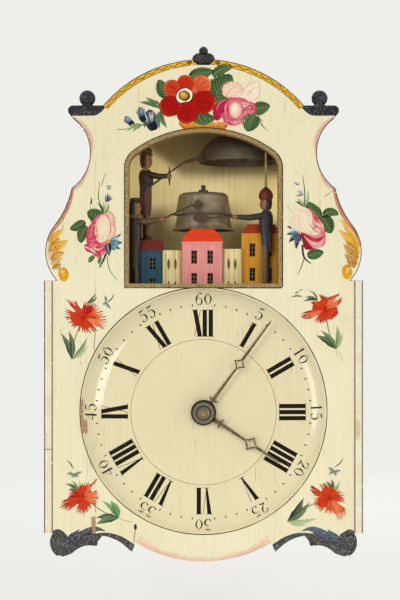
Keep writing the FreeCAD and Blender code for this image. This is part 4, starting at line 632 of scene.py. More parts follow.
def bouquet(brush):
    """The crown's bouquet: a red flower, a rose, buds and leaves over a yellow basket."""
    brush.layer(0)
    leaves(brush, ((168, 97.5), (159, 79.6), 13.5, -0.05, 5), ((189, 77), (213.6, 71), 12.5, -0.02, 6),
        ((212.4, 76), (232.8, 67), 9.5, -0.1, 5), ((211, 102), (232, 75.4), 25, -0.04, 7),
        ((212, 93), (219.4, 102.4), 8, 0.1, 3), ((191, 114.6), (215, 118.6), 14, 0.06, 5),
        ((198, 116), (207, 124), 8, 0.1, 3), ((252, 112), (270, 106), 13.5, -0.06, 5),
        ((255, 114.6), (247.6, 131.6), 17, 0.05, 6))
    for base, tip, width, light in (
            ((159.5, 108.6), (138.9, 102.2), 4.4, LEAF), ((158, 107.6), (145.4, 97.8), 4, LEAF),
            ((159.5, 108), (154.6, 99.8), 3.4, LEAF), ((160.5, 110.5), (167, 128), 5.4, LEAF),
            ((160, 111), (159.8, 129), 4.4, LEAF), ((146, 120), (144.6, 128), 3, BOTTLE)):
        blade(brush, base, tip, width, BOTTLE, light)
        stem(brush, [base, blend(base, tip, 0.9)], 0.35, SPRING)
    for tip in ((268.6, 131.8), (265, 128), (263.5, 122)):
        blade(brush, (257.5, 114.5), tip, 1.3, BOTTLE, LEAF)
    stem(brush, [(117.4, 129.5), (128, 128.8), (142, 125)], 0.9, SPRING)
    for tip, width in (((126, 132), 2.4), ((132, 132.4), 3.4), ((128, 127.4), 2)):
        blade(brush, (143, 124.6), tip, width, LEAF, SPRING)
    brush.layer(1)
    brush.shape([(179.6, 121.6), (203, 123.5), (226.6, 122.2), (223.5, 129.6), (203.5, 128.8), (185.5, 129.8)],
        ORANGE, blend(ORANGE, UMBER, 0.35))
    for fold in range(15):
        share = fold / 14
        top = (180.6 + 45 * share, 121.2 + 1.4 * (fold % 2))
        foot = (187 + 34 * share, 129.4)
        brush.strip([foot, blend(foot, top, 0.5), top], [1.2, 2.2, 2.6], [blend(ORANGE, UMBER, 0.4), ORANGE, YELLOW],
            [ORANGE, YELLOW, blend(YELLOW, CHALK, 0.25)])
        brush.strip([foot, blend(foot, top, 0.5), aside(foot, top, 1, 0.12)], [0.2, 0.45, 0.2],
            [UMBER, blend(ORANGE, UMBER, 0.5)])
    brush.strip([(186, 129.7), (203.5, 128.7), (223, 129.7)], [0.8, 1.2, 0.8], [blend(SCARLET, UMBER, 0.4)])
    bud(brush, (153, 129.6), (148.6, 109), 12.5)
    bud(brush, (143, 122), (139.6, 106), 7)
    bud(brush, (133, 125.2), (124.4, 116), 6.4)
    brush.oval((132.6, 125), 1.5, 1.1, YELLOW, SPRING, 0.6)
    brush.layer(2)
    heart = (184.4, 95.8)
    brush.oval(heart, 12.5, 11.5, DEEP_RED, RED)
    for petal in (
            ((200.6, 85.4), 10.4, blend(RED, SCARLET, 0.5), CORAL), ((185.3, 83.8), 8.6, RED, SCARLET),
            ((172.4, 88.4), 8.7, RED, blend(SCARLET, CORAL, 0.25)), ((203.6, 102.2), 11.6, DEEP_RED, RED),
            ((169.9, 106.2), 10.4, DEEP_RED, RED), ((187, 112.6), 10.8, DEEP_RED, RED)):
        broad_petal(brush, heart, *petal)
    brush.layer(5)
    brush.oval(heart, 9, 8.2, DEEP_RED, blend(DEEP_RED, BLACK, 0.3), -0.4, 0.04, 18)
    brush.oval(heart, 8.2, 7.2, BLUSH, CHALK, -0.4, 0.04, 18)
    brush.layer(6)
    brush.oval(heart, 5.9, 5.3, OCHRE, srgb(84, 74, 26), 0.2, 0.04, 16)
    brush.strip([(188.4, 92.6), (189.4, 96.2), (186.6, 99.8), (182, 100)], [0.4, 1.9, 1.9, 0.4], [srgb(58, 52, 20)])
    brush.oval((183.4, 94.8), 3.6, 2.9, YELLOW, OCHRE, 0.2)
    brush.oval((182.6, 93.9), 1.5, 1.1, blend(YELLOW, CHALK, 0.5), YELLOW)
    garden_rose(brush)


def pulls(brush, lines):
    """Several curved pulls of the brush, each with its points, widths and colours, paler on one side."""
    for line, widths, tones in lines:
        brush.strip(line, widths, tones, [blend(tone, CHALK, 0.28) for tone in tones], columns=5, step=0.7)


def garden_rose(brush):
    """The pale rose at the right of the bouquet."""
    brush.layer(2)
    faded = srgb(240, 224, 196)
    brush.shape([(241, 99), (246, 88), (256, 81.5), (259.5, 86), (259.4, 98), (253, 103.5)], faded, faded)
    brush.oval((232.4, 90), 10.6, 8.6, BLUSH, blend(BLUSH, PINK, 0.45), -0.15, 0.05, 16)
    brush.oval((245.5, 96.5), 9.5, 6.6, blend(BLUSH, CHALK, 0.3), BLUSH, -0.35, 0.05)
    brush.oval((236.5, 110), 17, 12.8, PINK, ROSE, 0.1, 0.04, 18)
    brush.layer(3)
    brush.strips([0.25, 0.6, 0.25], [blend(PINK, ROSE, 0.5)], [(222.4, 92), (224, 84), (232, 81.6), (240.6, 84.6)],
        [(240.6, 84.6), (243, 90), (239, 97.5)], [(243.6, 90), (250, 83.6), (258.6, 81)],
        [(258.6, 81), (260, 90), (258.6, 101)], [(245, 97), (252, 89.5), (259, 86.5)],
        [(226, 97), (230, 90), (237, 86.5)], [(250, 102), (256, 99), (259, 92)])
    brush.shape([(228, 98.4), (220.4, 100.6), (214.4, 105.6), (212.8, 113.4), (214.8, 120), (219.6, 119.6),
        (223.6, 112.6), (227.4, 106)], blend(CRIMSON, ROSE, 0.15), blend(CRIMSON, BLACK, 0.25), centre=(220.6, 108))
    pulls(brush, (
        ([(227, 99.4), (220, 103), (216.4, 111)], [0.6, 2.4, 0.6], [ROSE, CRIMSON, CRIMSON]),
        ([(228.6, 100.5), (226.4, 107.5), (228.4, 116)], [1.2, 4.6, 1.4], [CRIMSON, ROSE, CRIMSON]),
        ([(221, 114), (227, 122), (236.5, 124), (245, 119.5)], [2, 4.6, 5, 1.6], [CRIMSON, ROSE, PINK, ROSE]),
        ([(222, 118), (229, 123.4), (238, 123)], [0.6, 1.5, 0.5], [CHALK, BLUSH, PINK]),
        ([(226, 114.5), (232.5, 120.6), (240.5, 117.4)], [0.8, 3.4, 1], [CRIMSON, CRIMSON, ROSE]),
        ([(242, 103.4), (250.5, 103.6), (254.4, 109), (250.6, 116.6), (243, 119.4)], [1.2, 4, 4.6, 4.2, 1.2],
         [PINK, ROSE, CRIMSON, CRIMSON, ROSE]),
        ([(242.6, 106), (248.6, 106.4), (250.4, 110.6), (246.6, 115)], [0.8, 2.4, 2.6, 0.8],
        [BLUSH, PINK, ROSE, CRIMSON]),
        ([(242, 109.4), (245.6, 109.2), (246.4, 112.4)], [0.6, 1.6, 0.5], [CRIMSON, CRIMSON, ROSE])))
    brush.layer(4)
    brush.oval((235.4, 110), 5.4, 7.9, blend(BLUSH, PINK, 0.15), blend(BLUSH, PINK, 0.5), 0, 0.03, 16)
    brush.oval((234.6, 108.6), 3.4, 5.6, blend(BLUSH, CHALK, 0.5), BLUSH)
    for i in range(10):
        foot = (221.5 + 2.5 * i, 123.4 - 0.05 * (i - 5) ** 2)
        brush.strip([foot, (foot[0] + 0.5, foot[1] - 2), (foot[0] + (i - 4) * 0.2, foot[1] - 4)], [0.15, 0.5, 0.15],
            [brush.chance.choice((CHALK, PINK, CRIMSON))])
    for i in range(6):
        angle = 0.5 * i - 1.2
        start = (246.6 + 2.6 * math.cos(angle), 111 + 3.4 * math.sin(angle))
        end = (247.2 + 7 * math.cos(angle + 0.3), 111 + 7.2 * math.sin(angle + 0.3))
        brush.arc(start, end, 0.12, [0.15, 0.5, 0.15], [brush.chance.choice((BLUSH, CRIMSON, PINK))])
    brush.layer(5)
    for line, width in (([(221, 115), (226, 121.6), (234, 124.4), (242.6, 122)], 1.7),
            ([(229, 103), (227.4, 110), (230, 118)], 1.6),
            ([(243.5, 113.5), (246, 107.5), (251, 105.8), (253, 108.6), (250.4, 111.6)], 1.3),
            ([(246, 111.6), (248.4, 108.8), (250.8, 109.6), (249, 112.6)], 1),
            ([(240.6, 103.6), (243.2, 109.6), (241.4, 117)], 1.1)):
        brush.strip(line, [width * 0.25, width, width * 0.25], [blend(CRIMSON, ROSE, 0.15)])


def left_rose(brush):
    """The spray on the left flank: a rose with a pale heart, a blue flower, leaves and thin stalks."""
    brush.layer(0)
    leaves(brush, ((101, 222), (87, 212.5), 14.5, 0.12), ((84.6, 220.6), (69.8, 228.8), 9.6, -0.1),
        ((87.6, 226.4), (81, 243), 10.8, 0.12), ((94.6, 256), (89, 262.8), 4.6, 0.1),
        ((101.4, 257), (99, 264.6), 3.2, 0.1), ribs=6, dark=DEEP_GREEN, light=blend(BOTTLE, LEAF, 0.65))
    for row in (((104, 214.5), (97.4, 202.4), 3.4, BOTTLE, LEAF), ((104.4, 214.5), (108.6, 202.6), 2.8, LEAF, SPRING),
            ((103.6, 213), (102.4, 200), 2, LEAF, SAGE), ((90.4, 205), (91, 197), 1.8, UMBER, OLIVE_INK)):
        blade(brush, *row)
    stems(brush, ([(103.6, 212), (98.6, 198), (99.8, 182)], 0.8, BOTTLE),
        ([(101.6, 186), (103.4, 179), (106, 172.5)], 0.6, BOTTLE),
        ([(104.6, 212), (105.4, 206), (106.4, 202)], 0.6, SPRING), ([(90.5, 210), (90.6, 205)], 0.35, OLIVE_INK),
        ([(110, 222), (112.6, 218.4), (117, 216.4)], 0.45, SPRING),
        ([(111, 225), (113.6, 222), (116, 221)], 0.4, SPRING),
        ([(106, 253), (103.4, 260), (99.2, 267.4)], 1.9, BOTTLE),
        ([(107.2, 256), (109.6, 270), (117.8, 280.4)], 0.7, BOTTLE))
    for i in range(5):
        thorn = blend((105.6, 255), (100, 266), i / 4)
        blade(brush, thorn, (thorn[0] + 2.2, thorn[1] + 1), 0.8, BOTTLE, BOTTLE)
    for tip, width, tone in (((107.6, 192.6), 2.2, srgb(70, 62, 116)), ((110.6, 194), 2.4, srgb(98, 92, 146)),
            ((112.6, 197), 2.2, srgb(80, 74, 130)), ((105, 194.6), 1.8, GREY_BLUE)):
        blade(brush, (105.4, 201.6), tip, width, NAVY, tone)
    brush.oval((109, 187.4), 2.2, 2.3, srgb(196, 204, 186), srgb(92, 104, 86))
    brush.layer(1)
    for centre, u, v, turn in (((111.2, 219.5), 3.8, 9.5, -0.25), ((112, 231), 3.6, 9, 0.15)):
        brush.oval(centre, u, v, srgb(232, 200, 172), srgb(226, 176, 156), turn, 0.05)
    brush.strips([0.2, 0.6, 0.2], [ROSE], [(108, 211.4), (113.2, 216), (114.6, 227)],
        [(110, 222), (115.4, 229), (113, 239)], [(107.5, 214), (110, 222), (110.5, 234)])
    brush.shape([(99, 214.5), (92.6, 221), (87.4, 230), (86.4, 241), (89.6, 247.5), (97.5, 250.5), (104.5, 249),
        (109.4, 240), (111, 227), (107, 215)], PINK, ROSE, centre=(101, 230))
    brush.layer(2)
    brush.shape([(93.6, 222), (88.4, 229.6), (87.2, 240), (90.6, 247.5), (99, 248), (100.6, 241), (97, 231),
        (98.4, 223)], blend(CRIMSON, ROSE, 0.8), blend(CRIMSON, ROSE, 0.6))
    brush.shape([(84, 245.4), (90.6, 243.6), (97, 248.6), (104, 247.6), (105.6, 244), (105, 252), (99, 258),
        (92.4, 253.6), (86.4, 251)], ROSE, blend(CRIMSON, ROSE, 0.45))
    pulls(brush, (
        ([(83.8, 246.4), (90, 249), (97.4, 254.6)], [0.6, 2.4, 0.8], [BLUSH, PINK, ROSE]),
        ([(89, 243.6), (97.6, 249.6), (105.4, 245.4)], [0.6, 2.2, 0.6], [ROSE, PINK, ROSE]),
        ([(94, 256), (100.4, 255.6), (104.6, 250)], [0.6, 2.6, 0.8], [CRIMSON, CRIMSON, ROSE]),
        ([(103.5, 248), (108.4, 241), (110.4, 233)], [0.8, 3, 0.6], [ROSE, PINK, BLUSH]),
        ([(99, 245.6), (105, 243), (108.4, 236)], [0.5, 2.4, 0.5], [CRIMSON, ROSE, PINK])))
    brush.layer(3)
    brush.oval((102.6, 229), 7.6, 14.2, srgb(234, 220, 188), srgb(228, 200, 166), 0.14, 0.03, 18)
    brush.strip([(97.6, 218.6), (96, 229), (99.4, 241)], [0.4, 2.2, 0.5], [PINK, ROSE, ROSE], [BLUSH])
    brush.strip([(100, 216), (104.6, 214.4), (108.4, 219)], [0.3, 0.9, 0.3], [PINK])
    for _ in range(46):
        v = brush.between(224, 248)
        u = brush.between(89, 96.5) + 0.12 * (v - 236)
        run = brush.between(1.2, 3)
        brush.strip([(u + run, v - run * 0.4), (u, v), (u - run * 0.8, v + run * brush.between(0.3, 1.3))],
            [0.1, 0.75, 0.1], [brush.chance.choice((PINK, PINK, ROSE, CRIMSON, blend(PINK, ROSE, 0.5)))])
    for i in range(6):
        brush.strip([(88.5 + 2.6 * i, 247 + 0.8 * i), (89.8 + 2.4 * i, 249.4 + 0.8 * i),
            (90.4 + 2.3 * i, 252 + 0.7 * i)], [0.15, 0.6, 0.15], [brush.chance.choice((CHALK, PINK, CRIMSON))])
    heart = (108.5, 241.5)
    for tip, width, dark, light in (((121.2, 233.6), 4.6, TEAL, SKY), ((122.6, 242.4), 6.4, TEAL, AQUA),
            ((120.6, 249), 5.6, TEAL, AQUA), ((115, 250.6), 5, BLUE, AQUA), ((109.4, 256), 7.4, NAVY, NAVY)):
        blade(brush, heart, tip, width, dark, light, 0.06)
        blade(brush, blend(heart, tip, 0.6), tip, width * 0.4, AQUA, NAVY)
        blade(brush, heart, blend(heart, tip, 0.75), width * 0.16, light, SKY)
    brush.oval(heart, 2, 1.7, YELLOW, ORANGE, corners=8)


def right_rose(brush):
    """The spray on the right flank: a rounder rose with a pale heart, four leaves and a dark blue flower."""
    brush.layer(0)
    leaves(brush, ((322, 217.4), (306.6, 201.4), 13, -0.08), ((323.4, 215.4), (338.4, 215), 8.6, -0.22),
        ((320.6, 217.4), (330.4, 233.4), 15, -0.1), ((307.2, 255.8), (323.6, 252), 10.6, 0), ribs=6, dark=DEEP_GREEN,
        light=blend(BOTTLE, LEAF, 0.75))
    fan(brush, (304.4, 207), ((295, 201.5), 3, DEEP_GREEN, BOTTLE), ((296.4, 198.2), 3.4, LEAF, SAGE),
        ((308, 188.8), 3, LEAF, SAGE))
    stems(brush, ([(304, 206.4), (304.8, 193), (302.7, 175.5)], 1, BOTTLE),
        ([(298, 174), (296.4, 172), (295.3, 170)], 0.5, SAGE),
        ([(285.5, 204.3), (291, 210), (295.7, 216.5)], 0.5, SAGE),
        ([(302.3, 245), (304, 257), (310.8, 263.5)], 2, DEEP_GREEN),
        ([(304.1, 258.6), (301.4, 266.7), (297.8, 274.4)], 0.9, BOTTLE),
        ([(324.6, 197), (329, 193.4), (333.4, 189.8)], 0.5, BOTTLE))
    for tip, width in (((296.4, 191), 2.4), ((296.2, 195.4), 2.2), ((298, 189.8), 1.8)):
        blade(brush, (303, 194.2), tip, width, srgb(92, 86, 116), srgb(190, 190, 196))
    blade(brush, (299.4, 184.6), (294.4, 182.2), 2.4, srgb(128, 126, 128), srgb(206, 206, 196))
    brush.layer(1)
    brush.strips([0.3, 0.9, 0.5], [srgb(66, 64, 86)], [(296.2, 195.6), (299.6, 196), (303.6, 194.2)],
        [(296.4, 190.6), (299.4, 192.2), (303.2, 193.8)], [(294, 182), (296.6, 184.6), (299.6, 184.4)])
    brush.shape([(289, 221), (292.5, 216.6), (296.4, 218), (299, 232), (293.2, 229), (289, 225.4)],
        srgb(232, 212, 180), srgb(230, 204, 172))
    brush.shape([(305, 208), (311.6, 210), (318.6, 217.6), (323.6, 226), (325.4, 234), (325.8, 240), (323.2, 246),
        (314.4, 248.6), (308, 249.4), (304.2, 241.6), (301.2, 232.2), (304, 220)], PINK, ROSE, centre=(314, 230))
    brush.layer(2)
    pulls(brush, (
        ([(312.4, 214.6), (316, 217.4), (318.6, 221.6)], [1.2, 4.6, 1.4], [srgb(190, 58, 66), ROSE]),
        ([(318.4, 219.4), (322.4, 226), (323.6, 233)], [1, 3, 1.2], [ROSE, PINK, ROSE]),
        ([(314.4, 221.6), (318.6, 225), (321, 230)], [0.6, 2.2, 0.8], [PINK, BLUSH, PINK]),
        ([(304, 234.6), (310.2, 243), (318.5, 244.2), (325.2, 236.4)], [0.8, 5.4, 6.6, 2.2], [PINK, PINK, ROSE]),
        ([(306, 239), (312.4, 245.6), (320, 246.4)], [0.3, 1.4, 0.3], [ROSE, CRIMSON])))
    brush.oval((317, 230.2), 3.6, 4.6, blend(BLUSH, PINK, 0.4), PINK, 0.2, 0.05)
    brush.strip([(314.4, 233.4), (313.8, 228), (317.4, 226), (319.6, 229.4)], [0.3, 0.8, 0.8, 0.3], [ROSE])
    brush.layer(3)
    brush.shape([(298.4, 208.8), (304.5, 207.8), (309.4, 209.8), (312.2, 214.8), (312.6, 220.6), (312.8, 226),
        (314, 230.6), (319, 234.2), (313.4, 235), (307, 233.6), (301.4, 232), (297.4, 230.6), (295.2, 225.2),
        (296, 215.8)], srgb(230, 222, 190), srgb(232, 206, 180), centre=(305, 220))
    brush.strips([0.2, 0.7, 0.2], [srgb(224, 168, 146)], [(298, 209.4), (304, 211), (309.6, 209.6)],
        [(297.4, 214), (299.4, 222), (298.6, 230)], [(302, 232), (308, 234.4), (313.4, 230)],
        [(311.4, 212), (312.6, 219), (311.6, 226)])
    brush.layer(4)
    brush.shape([(300.8, 232.6), (302.2, 241), (305.4, 249.4), (313.6, 248.6), (310.4, 245.2), (306.4, 240),
        (303.4, 235)], WINE, WINE)
    brush.strip([(302.6, 233), (308, 237), (313, 239.4), (318, 240), (323.8, 236.8)], [1, 3.2, 4, 3.8, 0.8],
        [WINE, srgb(188, 60, 76), WINE], step=0.7)
    brush.strip([(314.6, 229.4), (317.4, 226.6), (320.8, 229)], [0.4, 0.9, 0.4], [ROSE])
    brush.strip([(313.6, 216), (316.4, 219.4), (317.6, 223)], [0.8, 3, 0.8], [srgb(176, 62, 74), ROSE], step=0.7)
    heart = (299.4, 233)
    for tip, width, dark, light in (((286.6, 226.2), 4.2, GREY_BLUE, srgb(206, 218, 216)),
            ((286.6, 234.6), 4.4, NAVY, AQUA), ((289.2, 242.6), 5.4, NAVY, BLUE), ((296.4, 249), 5.8, NAVY, BLUE),
            ((300.8, 241.6), 4, NAVY, srgb(60, 52, 120))):
        blade(brush, heart, tip, width, dark, light, 0.06)
        blade(brush, blend(heart, tip, 0.62), tip, width * 0.5, NAVY, BLACK)
    brush.oval((299, 232.6), 1.5, 1.3, srgb(216, 150, 66), ORANGE, corners=8)


def side_roses(brush):
    """A spray on each flank."""
    left_rose(brush)
    right_rose(brush)


ACANTHUS_LEFT = (((50.6, 243.4), (64, 228.6), 4.6, YELLOW), ((49.6, 252), (60.4, 237.6), 4.4, OCHRE),
    ((53, 252.6), (68, 240.4), 6.4, YELLOW), ((51, 259.6), (64.8, 252), 5, OCHRE),
    ((51.6, 264.4), (63, 258), 4.2, blend(OCHRE, BLUSH, 0.5)), ((52.6, 269), (60, 264), 3.6, OCHRE))
ACANTHUS_RIGHT = (((48, 247), (66.6, 219.4), 6.4, YELLOW), ((49, 254), (68.6, 229.4), 6.2, YELLOW),
    ((49.6, 259), (62, 240), 5, OCHRE), ((51, 265), (64, 243.6), 5.4, OCHRE),
    ((52.4, 267.6), (62.6, 254), 4.4, blend(OCHRE, UMBER, 0.3)))


def acanthus(brush, fingers, ball):
    """Yellow leaf fingers and a ball on the bulge of one flank, drawn for the left side."""
    brush.layer(0)
    faded = blend(OCHRE, BLUSH, 0.4)
    brush.strip([(52.5, 238), (51.6, 250), (54.6, 262), (58.6, 270)], [4, 9, 10, 5],
        [OCHRE, faded, blend(OCHRE, UMBER, 0.3)], [faded, BLUSH], 5)
    for base, tip, width, tone in fingers:
        width *= 1.35
        brush.arc(base, tip, -0.06, [width * 0.5, width, width * 0.9, 0.2], [blend(tone, UMBER, 0.3), tone, tone],
            [blend(tone, CHALK, 0.15)], 6, 0.7)
        brush.arc(base, tip, -0.06 - 0.4 * width / math.dist(base, tip), [0.4, 0.9, 0.2],
            [blend(OCHRE, UMBER, 0.4), OCHRE])
        for _ in range(7):
            start = aside(base, tip, brush.between(0, 0.35), brush.between(-0.12, 0.12))
            end = aside(base, tip, brush.between(0.55, 0.85), brush.between(-0.1, 0.06))
            brush.strip([start, blend(start, end, 0.5), end], [0.15, 0.6, 0.15],
                [brush.chance.choice((blend(OCHRE, UMBER, 0.2), YELLOW, blend(YELLOW, CHALK, 0.4), OCHRE))])
    for _ in range(26):
        v = brush.between(243, 268)
        u = 50 + 0.012 * (v - 250) ** 2 + brush.between(0, 7)
        brush.strip([(u, v), (u + 1, v - 1.4), (u + 2.6, v - 2.4)], [0.15, 0.6, 0.15],
            [brush.chance.choice((UMBER, OCHRE, TERRACOTTA))])
    brush.layer(1)
    u, v = ball
    brush.oval(ball, 5.2, 7.2, YELLOW, blend(YELLOW, OCHRE, 0.5))
    for start, end in (((-3.4, -3), (-0.4, 4.6)), ((2.8, -5), (4, 1)), ((-1, -6), (2.6, -6)), ((1, 1), (3.6, 4))):
        start, end = (u + start[0], v + start[1]), (u + end[0], v + end[1])
        brush.arc(start, end, 0.12, [0.3, 1.2, 0.3], [ORANGE, blend(OCHRE, UMBER, 0.3)])
    brush.oval((u - 1.2, v - 2.4), 1.6, 2.2, blend(YELLOW, CHALK, 0.45), YELLOW)


def yellow_leaves(brush):
    """The yellow leaf fingers and balls of both flanks."""
    acanthus(brush, ACANTHUS_LEFT, (63.6, 274.4))
    brush.mirror = True
    acanthus(brush, ACANTHUS_RIGHT, (60, 272))


def carnation(brush, heart, petals, sepals, foot, leaves, sprig, body=(9.5, 10.5),
        ink=(srgb(40, 72, 64), srgb(136, 160, 140))):
    """A corner carnation with frayed petals, sepals, a stalk, slim leaves and a sprig beside it."""
    petals = [(tips, hairs, *(tones or (RED, SCARLET))) for tips, hairs, *tones in petals]
    brush.layer(0)
    stem(brush, [heart, aside(heart, foot, 0.55, 0.06), foot], 0.9, LEAF)
    for tip, width, dark, light in leaves:
        blade(brush, foot, tip, width, dark, light, 0.07)
        stem(brush, [foot, aside(foot, tip, 0.5, 0.07), blend(foot, tip, 0.92)], 0.4, blend(light, CHALK, 0.25))
    fan(brush, *sepals)
    for start, end, width in sprig[:-1]:
        blade(brush, start, end, width * 1.4, *ink)
    start, end, width = sprig[-1]
    blade(brush, start, end, width * 1.3, OLIVE_INK, UMBER)
    brush.layer(1)
    for tips, hairs, deep, bright in petals:
        fringed(brush, heart, tips, deep, bright, hairs // 2 + 2)
    brush.layer(2)
    brush.oval(heart, body[0], body[1], blend(RED, SCARLET, 0.35), blend(RED, SCARLET, 0.7), 0, 0.14, 14)
    for tips, hairs, deep, bright in petals:
        for _ in range(hairs):
            tip = blend(heart, tuned(tips, brush.between(0.05, 0.95)), brush.between(0.62, 0.9))
            start = blend(heart, tip, brush.between(0.15, 0.4))
            tone = blend(deep, bright, brush.between(0.2, 1))
            brush.arc(start, tip, brush.between(-0.1, 0.1), [0.3, 1.3, 0.15], [tone, bright])
        fringe = hairs // 2 + 2
        for i in range(fringe):
            tip = blend(heart, tuned(tips, (i + 0.5) / fringe), brush.between(0.98, 1.08))
            start = blend(heart, tip, 0.8)
            brush.arc(start, tip, brush.between(-0.06, 0.06), [0.4, 0.7, 0.1], [deep, blend(DEEP_RED, UMBER, 0.45)])
    for _ in range(9):
        angle = brush.between(0, math.tau)
        tip = (heart[0] + 5 * math.cos(angle), heart[1] + 5.5 * math.sin(angle))
        brush.strip([heart, blend(heart, tip, 0.6), tip], [0.4, 1.2, 0.15], [DEEP_RED, SCARLET])


def carnations(brush):
    """The four corner carnations and a loose bud by the apron."""
    stem(brush, [(135.2, 530), (134.4, 537), (133.6, 543)], 0.7, DEEP_GREEN)
    brush.oval((135.4, 527), 1.5, 3.2, BOTTLE, DEEP_GREEN)
    carnation(
        brush, (83.2, 317.7),
        petals=(([(72, 305), (65, 298.3), (78, 302)], 11, RED, blend(SCARLET, ROSE, 0.3)),
                ([(83, 301), (92, 302), (98, 306)], 10, DEEP_RED, RED),
                ([(66, 308), (65, 318), (75, 330)], 13), ([(99, 306), (107, 318), (104, 331)], 13, SCARLET, CORAL),
                ([(78, 331), (88, 333), (98, 331)], 11)),
        sepals=((87, 303), ((97.4, 297), 2.6, UMBER, LEAF), ((95, 293.4), 2.4, BOTTLE, LEAF)),
        foot=(72, 359.5),
        leaves=(((61, 333), 6, srgb(34, 52, 28), srgb(64, 88, 52)),
                ((69, 330.6), 5.6, srgb(34, 52, 28), srgb(64, 88, 52)), ((87.5, 337), 4.2, BOTTLE, SPRING),
                ((88.8, 345), 4, SPRING, SAGE)),
        sprig=(((106, 302), (104.6, 295), 2.2), ((106, 302), (111.4, 309), 2.2), ((106, 302), (103.4, 305.6), 2),
               ((107, 302.6), (114.6, 293), 1)),
        body=(11.5, 10))
    carnation(
        brush, (325.3, 309.4),
        petals=(([(309.6, 302), (313.4, 301), (317.4, 300.4)], 8), ([(319, 294.8), (322.6, 295.6), (327, 297)], 10),
                ([(326, 296.4), (329.6, 297), (333, 296)], 8),
                ([(301.4, 314.4), (304.6, 312.4), (309, 311)], 7, blend(RED, ROSE, 0.2), SCARLET),
                ([(330, 297), (336, 294.8), (340.2, 293.6)], 11, SCARLET, CORAL),
                ([(341.6, 297), (341.4, 301), (338.4, 304.8)], 10, SCARLET, CORAL),
                ([(300.8, 315.6), (304, 318.4), (310.4, 319)], 11, blend(RED, ROSE, 0.25), CORAL),
                ([(313.4, 321), (320.4, 323.6), (327, 321.6)], 14), ([(331, 320.4), (336.6, 316), (337.4, 311)], 12)),
        sepals=((317.7, 299.8), ((303.4, 301.3), 2.8, DEEP_GREEN, BOTTLE), ((304.9, 297.2), 2.6, BOTTLE, LEAF),
                ((306.9, 289.1), 1, BOTTLE, LEAF),
                ((311.5, 290.1), 0.9, BOTTLE, LEAF)),
        foot=(336.5, 349.3),
        leaves=(((316.1, 335.3), 6.8, srgb(28, 44, 18), srgb(56, 80, 36)),
                ((321.2, 330.4), 5.2, srgb(44, 66, 32), srgb(84, 110, 62)),
                ((337, 325.8), 5.4, LEAF, blend(LEAF, SAGE, 0.5)), ((342.7, 332.4), 2.8, LEAF, SAGE)),
        sprig=(((295, 293.6), (299.4, 290.8), 2), ((299.6, 290.4), (303, 289), 1.4),
               ((302, 296.4), (290.4, 297.6), 1.2)),
        body=(12.4, 9.4), ink=(DEEP_GREEN, SAGE))
    for line in ([(336.5, 350), (337, 353.6), (338, 357)], [(338.6, 351), (341, 356), (343.7, 361)]):
        stem(brush, line, 0.6, SAGE)
    carnation(
        brush, (83.5, 497),
        petals=(([(97.4, 479), (93, 483), (88, 484)], 10, SCARLET, CORAL), ([(90, 482), (83, 483), (77, 487)], 9),
                ([(71, 489), (69, 494), (68, 499)], 6, DEEP_RED, RED), ([(64, 500), (59.6, 508), (70, 511)], 14),
                ([(75, 512), (84, 515), (92, 508)], 15), ([(95, 506), (98.5, 498), (96.5, 489)], 13, SCARLET, CORAL)),
        sepals=((78.5, 491), ((65.4, 483.6), 3.6, BOTTLE, LEAF), ((68, 490), 3.4, BOTTLE, LEAF),
                ((71.6, 480.6), 2.8, LEAF, SPRING),
                ((79.4, 479.6), 2.2, SPRING, SAGE)),
        foot=(118.6, 518),
        leaves=(((96, 517.6), 6, DEEP_GREEN, BOTTLE), ((96.2, 524), 7, DEEP_GREEN, LEAF),
                ((102.4, 500.6), 5, srgb(52, 98, 44), srgb(120, 156, 88)),
                ((110.6, 500.6), 7.4, srgb(34, 84, 34), srgb(92, 142, 72)), ((135, 521.8), 1, UMBER, SAGE)),
        sprig=(((73.6, 474), (66.6, 474.2), 2.4), ((73.6, 474), (82.4, 471), 2.2), ((73.6, 474), (79, 476.6), 2.6),
               ((73.6, 474), (73, 478.4), 2.4), ((73.4, 469), (66, 459.8), 1)))
    carnation(
        brush, (329.3, 497.6),
        petals=(([(310, 484), (311, 490), (314.6, 496)], 12), ([(319, 485), (324.5, 483), (330, 487)], 10),
                ([(313.8, 497.5), (315, 507), (321, 512.5)], 14),
                ([(324, 513), (330, 514), (336, 513)], 9, CORAL, SCARLET),
                ([(345, 508), (346, 515), (338, 521)], 12, SCARLET, CORAL),
                ([(338, 489), (343.5, 494), (345, 504)], 12)),
        sepals=((332.6, 490), ((325.6, 481.4), 3.4, BOTTLE, LEAF), ((331.2, 479), 3.4, BOTTLE, LEAF),
                ((339.6, 484.2), 3, BOTTLE, LEAF),
                ((340.6, 479.8), 2, LEAF, SAGE)),
        foot=(287.2, 521.6),
        leaves=(((303.8, 497.6), 7, DEEP_GREEN, BOTTLE), ((309.9, 502.4), 7, DEEP_GREEN, LEAF),
                ((317.4, 518.2), 5, SPRING, SAGE),
                ((306.6, 525.2), 3.8, SPRING, SAGE)),
        sprig=(((334, 471), (341, 470), 2.4), ((334, 471), (327.6, 468), 2.4), ((334, 471), (329, 475), 2.4),
               ((334, 471), (337, 476), 2.2),
               ((335, 467), (343.4, 457.2), 1)))


# Dial, edges and scrolls

def on_dial(radius, angle, along=0.0):
    """A grid spot on the dial, at an angle clockwise from the top and a distance along clockwise, in mm."""
    x = radius * math.sin(angle) + along * math.cos(angle)
    z = radius * math.cos(angle) - along * math.sin(angle)
    step = GRID / MM
    return (GRID_CENTRE[0] + x / step, GRID_CENTRE[1] - z / step)


